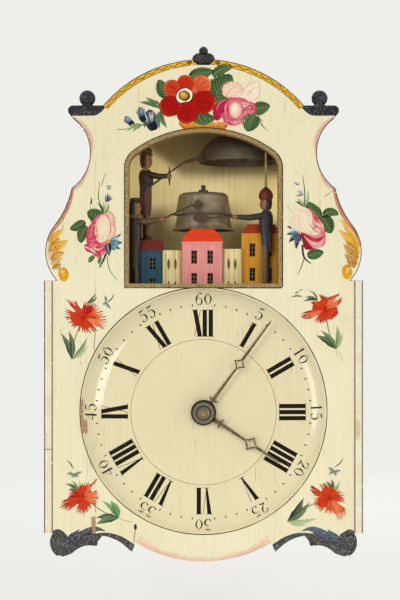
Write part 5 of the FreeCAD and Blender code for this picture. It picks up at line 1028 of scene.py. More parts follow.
class Lettering:
    """Writes numbers on the dial with their feet towards its centre."""

    THICK, THIN = 3.8, 0.42                 # stroke widths in mm
    ROMAN_FOOT, ROMAN_HEAD = 67.5, 91.0     # radii in mm
    PITCH = {"I": 5.4, "V": 8.4, "X": 7.6}
    LEAN = {"I": 0.0, "V": 2.6, "X": 2.2}
    MARK_FOOT, MARK_HEAD, MARK_WIDTH = 94.7, 96.6, 1.0
    DIGIT_FOOT, DIGIT_HEIGHT, DIGIT_WIDTH = 95.8, 10.4, 8.0
    # Strokes of each digit in a unit square, each with its line and its widths in mm.
    DIGITS = {
        "0": (([(0.5, 1.0), (0.1, 0.5), (0.5, 0.0), (0.9, 0.5), (0.5, 1.0)], [0.3, 2.0, 0.3, 1.7, 0.3]),),
        "1": (([(0.2, 0.74), (0.42, 0.86), (0.55, 1.0)], [0.3, 0.4, 0.4]),
              ([(0.55, 1.0), (0.55, 0.5), (0.55, 0.0)], [1.9]),
              ([(0.25, 0.02), (0.55, 0.0), (0.85, 0.02)], [0.3])),
        "2": (([(0.16, 0.72), (0.3, 0.96), (0.7, 0.96), (0.84, 0.7), (0.5, 0.34), (0.08, 0.04)],
              [1.8, 0.4, 0.8, 2.0, 0.7, 0.3]),
              ([(0.08, 0.06), (0.45, 0.14), (0.94, 0.02)], [0.3, 1.8, 0.4])),
        "3": (([(0.12, 0.94), (0.5, 1.0), (0.86, 0.95)], [0.6, 1.7, 0.4]),
              ([(0.86, 0.95), (0.6, 0.74), (0.42, 0.6)], [0.3]),
              ([(0.42, 0.6), (0.86, 0.46), (0.82, 0.12), (0.45, -0.04), (0.12, 0.12)], [0.3, 1.8, 2.0, 0.4, 1.8])),
        "4": (([(0.7, 1.0), (0.35, 0.62), (0.04, 0.3)], [0.3]), ([(0.04, 0.3), (0.5, 0.3), (0.98, 0.3)], [0.8]),
              ([(0.7, 1.0), (0.7, 0.5), (0.7, -0.04)], [1.9])),
        "5": (([(0.22, 0.95), (0.55, 0.94), (0.9, 1.02)], [1.7, 1.4, 0.3]),
              ([(0.24, 0.95), (0.2, 0.75), (0.18, 0.55)], [0.3]),
              ([(0.18, 0.55), (0.55, 0.64), (0.86, 0.38), (0.7, 0.06), (0.36, -0.02), (0.14, 0.14)],
              [0.3, 0.7, 2.1, 1.2, 0.4, 1.8])),
        "6": (([(0.86, 0.9), (0.5, 0.98), (0.14, 0.44), (0.3, 0.02), (0.7, 0.02), (0.88, 0.3), (0.6, 0.56),
              (0.18, 0.4)],
               [1.5, 0.4, 2.0, 0.8, 0.5, 1.8, 0.4, 0.3]),),
    }

    def __init__(self, brush):
        self.brush = brush

    def bar(self, angle, start, end, width, tone=INK, taper=1.0):
        """A straight stroke between two places, each a distance along and a radius, tapered to its end."""
        spots = [blend(start, end, i / 6) for i in range(7)]
        self.brush.strip([on_dial(r, angle, s) for s, r in spots], [w * MM / GRID for w in (width, width * taper)],
            [tone], smooth=False)

    def roman(self, text, angle):
        foot, head = self.ROMAN_FOOT, self.ROMAN_HEAD
        along = -sum(self.PITCH[letter] for letter in text) / 2
        for letter in text:
            along += self.PITCH[letter] / 2
            lean = self.LEAN[letter]
            spread = lean if letter == "X" else 0.0
            taper = 0.4 if letter == "V" else 1.0
            self.bar(angle, (along - lean, head), (along + spread, foot), self.THICK, taper=taper)
            if lean:
                self.bar(angle, (along + lean * 1.25, head), (along - spread * 1.25, foot), self.THIN, OLIVE_INK)
            for radius, shift in ((head, -lean), (foot, spread)):
                half = self.THICK * 0.72
                self.bar(angle, (along + shift - half, radius), (along + shift + half, radius), self.THIN, OLIVE_INK)
            along += self.PITCH[letter] / 2

    def number(self, text, angle):
        along = -(len(text) - 1) * self.DIGIT_WIDTH / 2
        for digit in text:
            for line, widths in self.DIGITS[digit]:
                spots = [on_dial(self.DIGIT_FOOT + self.DIGIT_HEIGHT * y, angle,
                    along + (x - 0.5) * self.DIGIT_WIDTH * 0.86) for x, y in line]
                self.brush.strip(spots, [w * 0.8 * MM / GRID for w in widths], [OLIVE_INK, INK], step=0.6)
            along += self.DIGIT_WIDTH


HOURS = ("I", "II", "III", "IIII", "V", "VI", "VII", "VIII", "IX", "X", "XI", "XII")


def dial_lettering(brush, rings):
    """The two circles, the minute marks, the hours and the minutes."""
    for radius, width, tone in rings:
        circle = [on_dial(radius, math.tau * i / 180) for i in range(181)]
        widths = [width * brush.between(0.75, 1.15) for _ in range(60)]
        brush.strip(circle, widths, [tone], smooth=False)
    brush.layer(1)
    letters = Lettering(brush)
    for i in range(60):
        if i % 5:
            letters.bar(math.tau * i / 60, (0.0, letters.MARK_FOOT), (0.0, letters.MARK_HEAD), letters.MARK_WIDTH)
    for hour, text in enumerate(HOURS, 1):
        angle = math.tau * hour / 12
        letters.roman(text, angle)
        letters.number(str(5 * hour), angle)


def board_loops():
    """The closed outlines of the board's flat front, as grid points, the longest first."""
    mesh = NODES["shield_board"].data
    front_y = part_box("edge_strips")[0].y + 0.8 * MM

    def key(index):
        spot = mesh.vertices[index].co
        return (round(spot.x / MM, 2), round(spot.z / MM, 2))

    uses = {}
    for face in mesh.polygons:
        if face.normal.y < -0.98 and all(abs(mesh.vertices[i].co.y - front_y) < 0.05 * MM for i in face.vertices):
            ring = [key(i) for i in face.vertices]
            for a, b in zip(ring, ring[1:] + ring[:1]):
                uses.setdefault(frozenset((a, b)), []).append((a, b))
    after = {pairs[0][0]: pairs[0][1] for pairs in uses.values() if len(pairs) == 1}
    step = GRID / MM
    loops = []
    while after:
        start, spot = after.popitem()
        loop = [start]
        while spot != start and spot in after:
            loop.append(spot)
            spot = after.pop(spot)
        loops.append([(GRID_CENTRE[0] + x / step, GRID_CENTRE[1] - (z + DIAL_RISE) / step) for x, z in loop])
    return sorted(loops, key=lambda loop: -max(abs(u - GRID_CENTRE[0]) for u, _ in loop))


EDGE_STEP = 1.2


def along_edge(loop, start, end):
    """The shorter part of a loop between the points nearest two spots, in even steps."""
    first, last = (min(range(len(loop)), key=lambda i: math.dist(loop[i], spot)) for spot in (start, end))
    ways = []
    for a, b, flip in ((first, last, False), (last, first, True)):
        way = loop[a:b + 1] if a <= b else loop[a:] + loop[:b + 1]
        ways.append(way[::-1] if flip else way)
    way = min(ways, key=path_length)
    return evenly(way, max(2, int(path_length(way) / EDGE_STEP)))


def inset(path, middle, distance):
    """A path moved towards the board's middle, by a distance or a list of distances along it."""
    moved = []
    for i, (u, v) in enumerate(path):
        a, b = path[max(i - 2, 0)], path[min(i + 2, len(path) - 1)]
        du, dv = b[0] - a[0], b[1] - a[1]
        size = math.hypot(du, dv) or 1.0
        nu, nv = -dv / size, du / size
        if nu * (middle[0] - u) + nv * (middle[1] - v) < 0:
            nu, nv = -nu, -nv
        away = tuned(distance, i / (len(path) - 1)) if isinstance(distance, list) else distance
        moved.append((u + nu * away, v + nv * away))
    return moved


def edging(brush, loop):
    """The yellow crown band, the worn edges of the sides and the apron, and a bare spot by a scroll."""
    def band(path, middle, away, widths, tones, rim=None, columns=3):
        brush.strip(inset(path, middle, away), widths, tones, rim, columns, smooth=False)

    for mirror in (False, True):
        brush.mirror = mirror
        brush.layer(0)
        crown = along_edge(loop, (308.5, 105.5), (217, 63.5))
        heart = (203.5, 190)
        band(crown, heart, 3, [5.2], [srgb(214, 152, 22), srgb(228, 172, 28)], [srgb(232, 182, 40)], 4)
        brush.layer(1)
        band(crown, heart, 0.5, [0.9, 1.1, 0.7], [UMBER])
        band(crown, heart, 5.6, [0.8], [srgb(122, 96, 40)])
        wave = [3.1 + math.sin(i * 0.656) for i in range(len(crown))]
        brush.strip(inset(crown, heart, wave), [0.7, 0.9, 0.7], [UMBER, srgb(120, 70, 28)], step=0.5)
        brush.layer(0)
        neck = along_edge(loop, (337.5, 118), (335.4, 187.6))
        widths = [1.5, 4.5, 5.2, 4.8, 1.8, 1.2, 2.5, 4.6, 4]
        band(neck, (250, 160), [w / 2 for w in widths], widths,
            [WORN_PINK, TERRACOTTA, TERRACOTTA, srgb(196, 142, 120), srgb(186, 136, 118)],
            [blend(WORN_PINK, CHALK, 0.2)], 5)
        band(neck, (250, 160), 0.4, [0.9, 0.7, 1, 0.7], [srgb(52, 38, 26)])
        flank = along_edge(loop, (334.8, 189.4), (360, 240))
        band(flank, (280, 240), [1.4, 2.1, 2.2, 2, 1.5], [2.6, 4.2, 4.4, 4, 3],
            [srgb(158, 84, 54), srgb(158, 90, 62), srgb(176, 110, 78), srgb(192, 142, 86)], [srgb(204, 148, 112)], 5)
        band(flank, (280, 240), 0.4, [0.9, 0.8], [srgb(46, 32, 20)])
        bulge = along_edge(loop, (360, 240), (357, 279))
        band(bulge, (280, 250), 0.4, [0.9, 0.8], [srgb(46, 32, 20), UMBER])
        apron = along_edge(loop, (274.5, 546), (203.5, 563.2))
        widths = [9, 7, 4.5, 6.5, 4, 5.5]
        band(apron, (203.5, 480), [w / 2 for w in widths], widths,
            [srgb(228, 190, 164), srgb(214, 158, 132), WORN_PINK, WORN_PINK], [srgb(232, 214, 184)], 5)
    brush.mirror = False
    brush.layer(6)
    brush.strip([(93.7, 516.6), (93.8, 525), (93.9, 533)], [3.2, 3.8, 3.6], [srgb(186, 146, 116), srgb(164, 124, 98)],
        step=0.8)


def opening_line(brush, loop):
    """A dark line on the board round the stage opening."""
    middle = tuple((min(part) + max(part)) / 2 for part in zip(*loop))
    ring = loop + loop[:1]
    brush.strip(inset(ring, middle, -0.5), [1.1, 0.8, 1.2, 0.9, 1.1], [OLIVE_INK, INK], smooth=False)


def scrolls(brush):
    """The dark volutes and leaf bands along the foot."""
    ground = [SLATE, srgb(30, 30, 36)]
    for mirror, tints in ((True, (NAVY, srgb(50, 52, 92), SLATE)),
            (False, (srgb(54, 66, 110), TEAL, blend(SLATE, TEAL, 0.5)))):
        brush.mirror = mirror
        brush.layer(0)
        brush.strip([(346, 552), (336, 546.5), (322, 541), (305, 539.5)], [10, 16, 16, 10], ground,
            [srgb(66, 64, 62)], 6)
        brush.oval((349, 544), 11.4, 14.2, srgb(62, 62, 62), SLATE, corners=16)
        brush.layer(1)
        brush.strip([(345, 537), (351, 534.5), (355, 541), (352, 549), (346, 547)], [0.8, 1.8, 2.2, 1.8, 0.6],
            [srgb(40, 40, 44)])
        brush.strip([(337, 544), (324, 534), (311, 529), (301.5, 531)], [4, 8, 6.5, 0.4], [SLATE, tints[0], tints[0]],
            [SLATE, blend(tints[0], SKY, 0.25)], 6)
        brush.strip([(339, 547), (335.5, 538), (327.4, 529.4)], [4, 7.5, 0.4], [SLATE, tints[1]], [SLATE, tints[1]],
            6)
        brush.strip([(313, 534.4), (299, 535.4), (286.4, 540.8), (274.6, 550.4)], [1.6, 5.4, 8.8, 12],
            [SLATE, tints[2], SLATE], [SLATE, SLATE], 5)
        brush.layer(2)
        brush.strips([0.3, 0.9, 0.2], [blend(tints[0], SKY, 0.2)], [(330, 538), (318, 531.5), (307, 530)],
            [(336, 542), (333, 536), (329, 531.5)])
    brush.mirror = False


# Finishes of single pieces

# What a normal's y is where a finish begins and where it is full
FRONT = (-0.2, -0.55)
SQUARE_FRONT = (-0.4, -0.7)
SHELF = (87.2, 88.4)        # where the shelves of the shoulders begin, out from the middle in mm


def shield_oil(look):
    """Cream oil paint on pine: brush marks, grime, fine cracks, a long split, rubbed places; bare behind."""
    f = Finish("shield_oil")
    _, face_y, _ = f.facing()
    front = face_y.step(*FRONT)
    back = face_y.step(0.3, 0.7)
    rise = f.z + DIAL_RISE
    radius = (f.x * f.x + rise * rise) ** 0.5
    side = abs(f.x)
    cream = f.mix(radius.step(107.0, 113.0), look.dial_cream, look.cream)
    cream = f.mix(f.noise(0.012, 3.0).step(0.3, 0.7) * 0.5, cream, look.cream_deep)
    streak = f.noise(0.55, 4.0, stretch=ALONG["z"])
    cream = f.mix(streak.step(0.42, 0.75) * 0.3, cream, look.cream_streak)
    yellowed = f.noise(0.03, 4.0).step(0.5, 0.8) * 0.3
    cream = f.mix(yellowed, cream, look.grime)
    gate = f.noise(0.025, 2.0)
    specks = f.cells(0.085).step(0.05, 0.03) * gate.step(0.45, 0.6)
    dust = f.cells(0.24, (1.0, 1.0, 0.7)).step(0.075, 0.04) * f.noise(0.03, 3.0).step(0.5, 0.64) * 0.8
    specks = specks.at_least(dust)
    hairs = f.noise(0.22, 2.0, stretch=ALONG["z"]).near(0.5, 0.0015, 0.006) * f.noise(0.02, 3.0).step(0.5, 0.62)
    cream = f.mix(specks * 0.85, cream, look.speck)
    cream = f.mix(hairs * 0.35, cream, look.speck)
    wander = f.noise(0.02, 3.0, at=f.node("ShaderNodeCombineXYZ", sockets={2: f.z}))
    split = (f.x + (wander - 0.5) * -5.0).near(look.split_at / MM, 0.12, 0.42)
    split = split * rise.step(-114.0, -110.0) * (rise.step(112.0, 106.0) * 0.65 + 0.35)
    split = split * rise.step(244.0, 236.0) * radius.step(111.0, 113.0)
    split = split * (f.noise(0.09, 3.0).step(0.4, 0.55) * 0.85 + 0.15)
    cream = f.mix(split, cream, look.speck)
    ragged = f.noise(0.4, 4.0, 0.6)
    chip = (f.x + ragged * 4.0).near(-107.4, 0.8, 1.8) * (rise + ragged * 12.0).near(4.0, 10.0, 16.0)
    foot_chip = (f.x + ragged * 3.0).near(-97.6, 1.6, 2.2) * (rise + ragged * 3.0).near(-100.8, 6.5, 7.6)
    low_chip = (f.x + ragged * 4.0).near(-104.6, 2.2, 3.4) * (rise + ragged * 8.0).near(-9.5, 5.0, 8.0)
    rubbed = chip.at_least(foot_chip).at_least(low_chip)
    cream = f.mix(rubbed * 0.85, cream, look.bared)
    dark = speckled(f, look.ornament, look.ornament_fleck)
    inner = (100.0 - side).at_least(0.0) / 12.0
    shelf = side.step(*SHELF) * (rise - inner * inner * 8.0).step(265.2, 266.2)
    cream = f.mix(shelf, cream, dark)
    worn = f.noise(0.3, 5.0, 0.5).step(0.42, 0.62)
    edge = f.mix(worn, look.edge_paint, look.bared)
    edge = f.mix(side.step(60.0, 64.0) * rise.step(-108.0, -112.0), edge, dark)
    edge = f.mix(side.step(*SHELF) * rise.step(264.0, 267.0), edge, dark)
    pine, _ = planed_pine(f, look, 130.0)
    tone = f.mix(front, edge, cream)
    tone = f.mix(back, tone, pine)
    height = streak * 0.35 + f.noise(0.9, 3.0) * 0.2 - split * 1.6 - hairs * 0.4 - rubbed * 1.0 + shelf * ragged * 0.6
    rough = streak * 0.16 + yellowed * 0.2 + rubbed * 0.3 + (1 - front) * 0.25 + 0.4
    varnish = radius.step(111.5, 109.5) * front * (1 - rubbed) * 0.85
    return f.painted(tone, rough, height, 0.1, 0.2, Coat_Weight=varnish, Coat_Roughness=0.1, Coat_IOR=1.8)


def hand_metal(look):
    """The dark brass of the hands, with a ringed hub."""
    f = Finish("hand_brass")
    rise = f.z + DIAL_RISE
    radius = (f.x * f.x + rise * rise) ** 0.5
    cloud = f.noise(0.25, 4.0, 0.4).step(0.35, 0.7)
    tone = f.mix(cloud * 0.8, look.hand, look.hand_dull)
    # The hub's rings are laid by distance from the dial's centre: dark at its rim and in a groove, lighter between
    # them and on the middle.
    hub = radius.step(12.4, 11.8)
    tone = f.mix(hub * radius.step(9.4, 10.0), tone, look.hub_dark)
    tone = f.mix(radius.near(8.0, 1.2, 1.5), tone, look.hub)
    tone = f.mix(radius.near(6.2, 0.3, 0.7), tone, look.hub_dark)
    tone = f.mix(radius.step(5.6, 5.2), tone, look.hub)
    pits = f.noise(1.1, 3.0).step(0.6, 0.7)
    tone = f.mix(pits * 0.5, tone, look.hub_dark)
    return f.done(Base_Color=tone, Metallic=0.55 - pits * 0.3, Roughness=cloud * 0.16 + pits * 0.15 + 0.34,
        Normal=f.bump(f.noise(0.6, 4.0) * 0.6 - pits * 0.8, 0.06))


def strip_paint(look):
    """The side strips: worn pinkish beige with dark lines along both edges."""
    f = Finish("strip_paint")
    _, face_y, _ = f.facing()
    front = face_y.step(*FRONT)
    side = abs(f.x)
    worn = f.noise(0.5, 5.0, 0.5).step(0.45, 0.65)
    tone = f.mix(f.noise(0.05, 3.0).step(0.35, 0.65), look.strip, look.strip_pale)
    tone = f.mix(worn * 0.4, tone, look.cream_streak)
    broken = f.noise(0.35, 4.0).step(0.26, 0.4)
    lines = side.near(136.2, 0.3, 0.65).at_least(side.near(142.9, 0.35, 0.7)) * broken
    joint = f.x.step(-130.0, -131.0) * (f.z + DIAL_RISE).near(-34.4, 0.35, 0.7)
    tone = f.mix(lines.at_least(joint * 0.7) * 0.92, tone, look.strip_line)
    tone = f.mix((1 - front) * 0.75, tone, look.strip_line)
    specks = f.cells(0.5).step(0.16, 0.08) * f.noise(0.05, 2.0).step(0.4, 0.6)
    tone = f.mix(specks * 0.7, tone, look.speck)
    knot = f.cells(0.05, (1.0, 1.0, 0.25)).step(0.16, 0.08)
    tone = f.mix(knot * 0.4, tone, look.bared)
    return f.painted(tone, worn * 0.2 + 0.45, worn * 0.6 + lines * 0.4, 0.12, 0.2)


def bead_paint(look):
    """The lining of the stage opening: ochre, rubbed dark in patches, and darkened along its inner, deeper edge as
    painted shade.
    """
    f = Finish("bead_paint")
    worn = f.noise(0.9, 5.0, 0.6)
    tone = f.mix(worn.step(0.48, 0.66) * 0.7, look.bead, look.bead_wear_and_shade)
    tone = f.mix(f.noise(1.5, 3.0).step(0.52, 0.6) * 0.85, tone, look.speck)
    # Painted shade: the lining gets darker towards the back of the opening.
    deep = f.y.step(-117.4, -114.0)
    tone = f.mix(deep * 0.6, tone, look.bead_wear_and_shade)
    return f.painted(tone, worn * 0.3 + 0.4, worn, 0.2, 0.2)


def house_paint(name, wall, wall_shade, roof, eaves_rise, front_y, look):
    """A little house: one colour on its walls, another on its roof, and dark window recesses."""
    f = Finish(name)
    _, face_y, _ = f.facing()
    rise = f.z + DIAL_RISE
    brush = f.noise(0.8, 4.0, stretch=ALONG["z"])
    walls = f.mix(brush.step(0.35, 0.7) * 0.8, wall, wall_shade)
    tiles = f.mix(f.noise(0.5, 4.0, stretch=ALONG["x"]).step(0.35, 0.7) * 0.7, roof,
        blend(roof, (0.02, 0.01, 0.01), 0.35))
    tone = f.mix((rise + (brush - 0.5) * 0.7).step(eaves_rise - 0.3, eaves_rise + 0.1), walls, tiles)
    panes = face_y.step(*SQUARE_FRONT) * f.y.step(front_y + 0.35, front_y + 0.6)
    panes = panes * rise.step(eaves_rise - 2.0, eaves_rise - 3.0)
    tone = f.mix(panes, tone, look.pane)
    chips = f.noise(0.7, 5.0, 0.6).step(0.67, 0.7)
    tone = f.mix(chips * 0.8, tone, look.chip)
    return f.painted(tone, brush * 0.2 + 0.5, brush * 0.5 - chips * 0.6, 0.1, 0.12)


def figure_paint(name, place, sizes, paints, look):
    """A carved striker: clothes, hair and hat each in a colour, flesh on face and hands, rubbed high spots, and the
    far leg darker as painted shade.
    """
    floor_z, turn_x, turn_y, side = place
    reach, chin, brim, hips, tail, knee = sizes
    shoe, near_leg, shaded_far_leg, breeches, coat, sleeve, collar, hair, hat = paints
    f = Finish(name)
    out = (f.x - turn_x) * side
    chips = f.noise(0.9, 5.0, 0.5)
    height = f.z - floor_z + (chips - 0.5) * 1.0
    # The leg further back gets a darker colour: painted shade.
    legs = f.mix(f.y.step(turn_y - 0.4, turn_y + 0.4), near_leg, shaded_far_leg)
    tone = f.mix(height.step(4.8, 5.2), shoe, legs)
    tone = f.mix(height.step(knee - 0.2, knee + 0.2), tone, breeches)
    hem = hips - out.step(2.0, -2.5) * (hips - tail)
    tone = f.mix((height - hem).step(-0.2, 0.2), tone, coat)
    tone = f.mix(height.step(hips + 4.0, hips + 5.0) * out.step(5.8, 6.8), tone, sleeve)
    tone = f.mix(height.step(chin - 3.4, chin - 3.0) * out.step(5.2, 4.6), tone, collar)
    skin = f.mix(((out - 2.6) * (out - 2.6) + (height - chin - 3.6) * (height - chin - 3.6)).step(4.0, 0.5) * 0.4,
        look.flesh, look.cheek)
    eye = ((out - 3.2) * (out - 3.2) + (height - chin - 6.4) * (height - chin - 6.4)).step(0.7, 0.3)
    skin = f.mix(eye * 0.85, skin, look.pane)
    tone = f.mix(height.step(chin - 0.7, chin - 0.3) * out.step(8.0, 7.6), tone, skin)
    tone = f.mix(height.step(chin - 0.7, chin - 0.3) * out.step(0.6, -0.2), tone, hair)
    tone = f.mix(height.step(brim - 0.2, brim + 0.2), tone, hat)
    tone = f.mix(out.step(reach - 2.6, reach - 2.0), tone, look.flesh)
    fold = f.noise(0.5, 4.0, stretch=(1.0, 1.0, 0.12))
    tone = f.mix(fold.step(0.45, 0.72) * 0.45, tone, (0.012, 0.01, 0.008))
    tone = f.mix(chips.step(0.64, 0.69) * 0.5, tone, look.chip)
    return f.painted(tone, chips * 0.25 + 0.28, fold * 0.6 + chips * 0.5, 0.3, 0.35)


def scroll_oil(look):
    """The foot's dark scrolls: the strokes' own colour under worn flecks."""
    f = Finish("scroll_oil")
    ground = f.attribute("paint", "Color")
    fleck = f.noise(0.85, 4.0, 0.4).step(0.49, 0.6) * (f.noise(0.15, 2.0).step(0.35, 0.6) * 0.4 + 0.6)
    tone = f.mix(fleck * 0.85, ground, look.ornament_fleck)
    tone = f.mix(f.noise(0.9, 3.0).step(0.55, 0.75) * 0.7, tone, (0.012, 0.012, 0.016))
    return f.painted(tone, fleck * 0.3 + 0.4, fleck, 0.12, 0.2)


def stage_wall(look, wood):
    """The stage's walls: thin cream paint with marks down it inside, with painted shadows low on the left, along the
    foot and across the top and a painted glow on the rest; bare pine outside.
    """
    f = Finish("stage_wall")
    face_x, face_y, _ = f.facing()
    streak = f.noise(0.7, 4.0, stretch=ALONG["z"])
    paint = f.mix(streak.step(0.38, 0.72) * 0.5, look.wall, look.wall_streak)
    paint = f.mix(f.noise(0.03, 3.0).step(0.4, 0.75) * 0.3, paint, look.wall_streak)
    specks = f.cells(0.16).step(0.07, 0.04) * f.noise(0.05, 2.0).step(0.5, 0.6)
    paint = f.mix(specks * 0.8, paint, look.pane)
    rise = f.z + DIAL_RISE
    # Painted shadows: one low on the left and along the foot of the walls, one across the top under the large bell
    # and the arch; both darken the paint.
    low_painted_shadow = (f.x.step(-22.0, -46.0) * rise.step(198.0, 176.0)).at_least(rise.step(184.0, 164.0) * 0.8)
    top_painted_shadow = (rise + (f.x + 20.0).at_most(0.0) * 0.8).step(214.0, 229.0)
    paint = f.mix((low_painted_shadow * 0.65).at_least(top_painted_shadow * 0.45), paint, darker(look.wall_streak, 0.75))
    pine, lines = planed_pine(f, wood, 138.0)
    inside = face_y.step(*SQUARE_FRONT).at_least((face_x * f.x).step(-10.0, -40.0))
    tone = f.mix(inside, pine, paint)
    # A painted glow on the unshadowed inner walls, standing in for light the pale walls throw back; it is no lamp.
    painted_glow_mask = inside * (1 - top_painted_shadow) * (1 - low_painted_shadow)
    return f.painted(tone, streak * 0.2 + 0.5, streak * 0.6 + lines * 0.2, 0.12, 0.12,
        Emission_Color=f.mix(painted_glow_mask, (0.0, 0.0, 0.0), paint), Emission_Strength=look.painted_bounce_glow)


SLIT_PLACES = (-31.84, -25.68, 23.06, 29.12)    # of the arrow slits, from the middle in mm
SLIT_RISES = (112.3, 132.8)                     # above the dial's centre in mm


def town_paint(look):
    """The town walls: cream with ochre streaks and dark arrow slits."""
    f = Finish("town_paint")
    _, face_y, _ = f.facing()
    streak = f.noise(0.55, 4.0, stretch=ALONG["z"])
    tone = f.mix(streak.step(0.38, 0.66), look.town, look.town_shade)
    rise = f.z + DIAL_RISE
    spot = f.x.near(SLIT_PLACES[0], 1.45, 1.65)
    for x in SLIT_PLACES[1:]:
        spot = spot.at_least(f.x.near(x, 1.45, 1.65))
    low, high = (rise.near(level, 5.4, 5.6) for level in SLIT_RISES)
    slit = face_y.step(-0.95, -0.995) * f.y.step(-96.9, -96.6) * spot * low.at_least(high)
    tone = f.mix(slit * 0.95, tone, srgb(104, 84, 38))
    chips = f.noise(0.6, 5.0, 0.6).step(0.66, 0.7)
    tone = f.mix(chips * 0.7, tone, look.chip)
    return f.painted(tone, streak * 0.2 + 0.5, streak * 0.5 - chips * 0.5, 0.12, 0.12)


# Settings

def colour(name, description, *screen):
    return bpy.props.FloatVectorProperty(name=name, description=description, subtype="COLOR", size=3, min=0.0,
        max=1.0, default=srgb(*screen))


def length(name, description, metres):
    return bpy.props.FloatProperty(name=name, description=description, default=metres, subtype="DISTANCE",
        unit="LENGTH")


def number(name, description, value):
    return bpy.props.FloatProperty(name=name, description=description, default=value, min=0.0)


class ShieldLook(bpy.types.PropertyGroup):
    """Colours of the painted board, its strips and its ornaments"""
    cream: colour("Cream", "Ground colour of the shield", 231, 224, 192)
    dial_cream: colour("Dial cream", "Ground colour of the dial", 220, 208, 165)
    cream_deep: colour("Deep cream", "Ground colour where it has yellowed", 226, 214, 170)
    cream_streak: colour("Streak", "Thin brush marks in the ground", 212, 198, 152)
    grime: colour("Grime", "Dirt that darkens the ground", 212, 196, 148)
    speck: colour("Speck", "Fly specks, cracks and the long split", 58, 42, 24)
    bared: colour("Bared wood", "Wood and primer where paint is lost", 172, 126, 92)
    edge_paint: colour("Edge paint", "Paint on the board's narrow edges", 206, 178, 140)
    ornament: colour("Ornament", "Blue-black of shelves, finials and scrolls", 26, 28, 36)
    ornament_fleck: colour("Ornament fleck", "Worn flecks in the blue-black", 132, 129, 119)
    pine: colour("Pine", "Bare back of the board", 178, 138, 92)
    pine_dark: colour("Pine grain", "Growth lines at the back", 128, 88, 52)
    strip: colour("Strip", "Side strips", 224, 213, 186)
    strip_pale: colour("Pale strip", "Side strips where they have faded", 232, 225, 198)
    strip_line: colour("Strip line", "Dark lines along the strips", 70, 46, 34)
    bead: colour("Bead", "Lining of the stage opening", 172, 146, 96)
    # Dark of the rubbed patches, and also of the painted shade deeper in the opening.
    bead_wear_and_shade: colour("Dark bead", "Lining where it is rubbed", 100, 76, 44)
    split_at: length("Split", "Where the long split runs, from the middle", -0.0976)


class DialLook(bpy.types.PropertyGroup):
    """Sizes of the dial's circles"""
    outer_ring: length("Outer circle", "Radius of the circle at the dial's foot", 0.1112)
    inner_ring: length("Inner circle", "Radius of the circle inside the hours", 0.0648)


class StageLook(bpy.types.PropertyGroup):
    """Colours on the striking stage"""
    wall: colour("Stage wall", "Painted back and sides of the stage", 240, 223, 166)
    wall_streak: colour("Stage streak", "Brush marks down the stage", 212, 189, 122)
    pane: colour("Pane", "Dark window panes", 14, 13, 13)
    bars: colour("Window bars", "Thin bars across the panes", 150, 132, 104)
    chip: colour("Chip", "Bare wood under chipped paint", 150, 112, 76)
    flesh: colour("Flesh", "Faces and hands", 138, 98, 64)
    cheek: colour("Cheek", "Colour of the cheeks", 146, 70, 50)
    # Strength of the painted glow on the stage walls, which is no lamp.
    painted_bounce_glow: number("Bounce", "Light the stage's pale walls throw back", 0.27)
    town: colour("Town wall", "Cream town wall", 236, 222, 172)
    town_shade: colour("Town wall shade", "Brush marks on the town wall", 206, 182, 122)


class MetalLook(bpy.types.PropertyGroup):
    """Colours of the metals"""
    bell: colour("Bell", "Bell metal where it is rubbed", 158, 145, 120)
    bell_dull: colour("Dull bell", "Bell metal gone grey-brown", 116, 105, 84)
    brass: colour("Brass", "Wheels and bob", 196, 154, 80)
    brass_dull: colour("Dull brass", "Tarnish on the brass", 122, 90, 46)
    hand: colour("Hand", "Hands where they are rubbed", 126, 110, 76)
    hand_dull: colour("Dull hand", "Darkened hands", 62, 50, 30)
    # Colours of the hub's rings, laid by distance from the dial's centre: lighter between and on the middle, dark at
    # the rim and in a groove.
    hub: colour("Hub", "Hub of the hands where it is rubbed", 112, 104, 86)
    hub_dark: colour("Dark hub", "Grooves and rim of the hub", 36, 31, 21)
    iron: colour("Iron", "Wire, screws and plates", 96, 90, 84)
    iron_dull: colour("Rust", "Iron gone brown", 62, 46, 36)


class WoodLook(bpy.types.PropertyGroup):
    """Colours of the bare woods"""
    pine: colour("Pine", "Case boards", 184, 142, 94)
    pine_dark: colour("Pine grain", "Growth lines in the case boards", 132, 90, 52)
    beech: colour("Beech", "Bars and posts", 196, 150, 104)
    beech_dark: colour("Beech grain", "Flecks in the beech", 150, 104, 66)


class StudioLook(bpy.types.PropertyGroup):
    """Floor, background and light"""
    background: colour("Background", "What the camera sees behind the clock", 238, 238, 235)
    floor: colour("Floor", "Pale floor", 236, 236, 232)
    floor_drop: length("Floor height", "Height of the floor below the hanging hole", -0.42)
    ambient: number("Ambient", "Strength of the light from all round", 0.2)
    key: number("Key", "Power of each front lamp in watts", 9.2)
    strip: number("Strip light", "Power of each tall side lamp in watts", 4.8)
    fill: number("Fill", "Power of the lamps above and behind in watts", 10.0)


# Pieces

BOX_FACES = ((0, 2, 3, 1), (4, 5, 7, 6), (0, 1, 5, 4), (2, 6, 7, 3), (0, 4, 6, 2), (1, 3, 7, 5))


def add_box(spots, faces, low, high):
    """Adds a box between two corners, in mm with z counted from the dial's centre."""
    start = len(spots)
    for x in (low[0], high[0]):
        for y in (low[1], high[1]):
            for z in (low[2], high[2]):
                spots.append((x * MM, y * MM, DIAL_Z + z * MM))
    faces.extend(tuple(start + i for i in face) for face in BOX_FACES)


class ClockPiece:
    """What the clock's operators share."""
    bl_options = {"REGISTER"}

    def execute(self, context):
        self.make(context.scene)
        return {"FINISHED"}


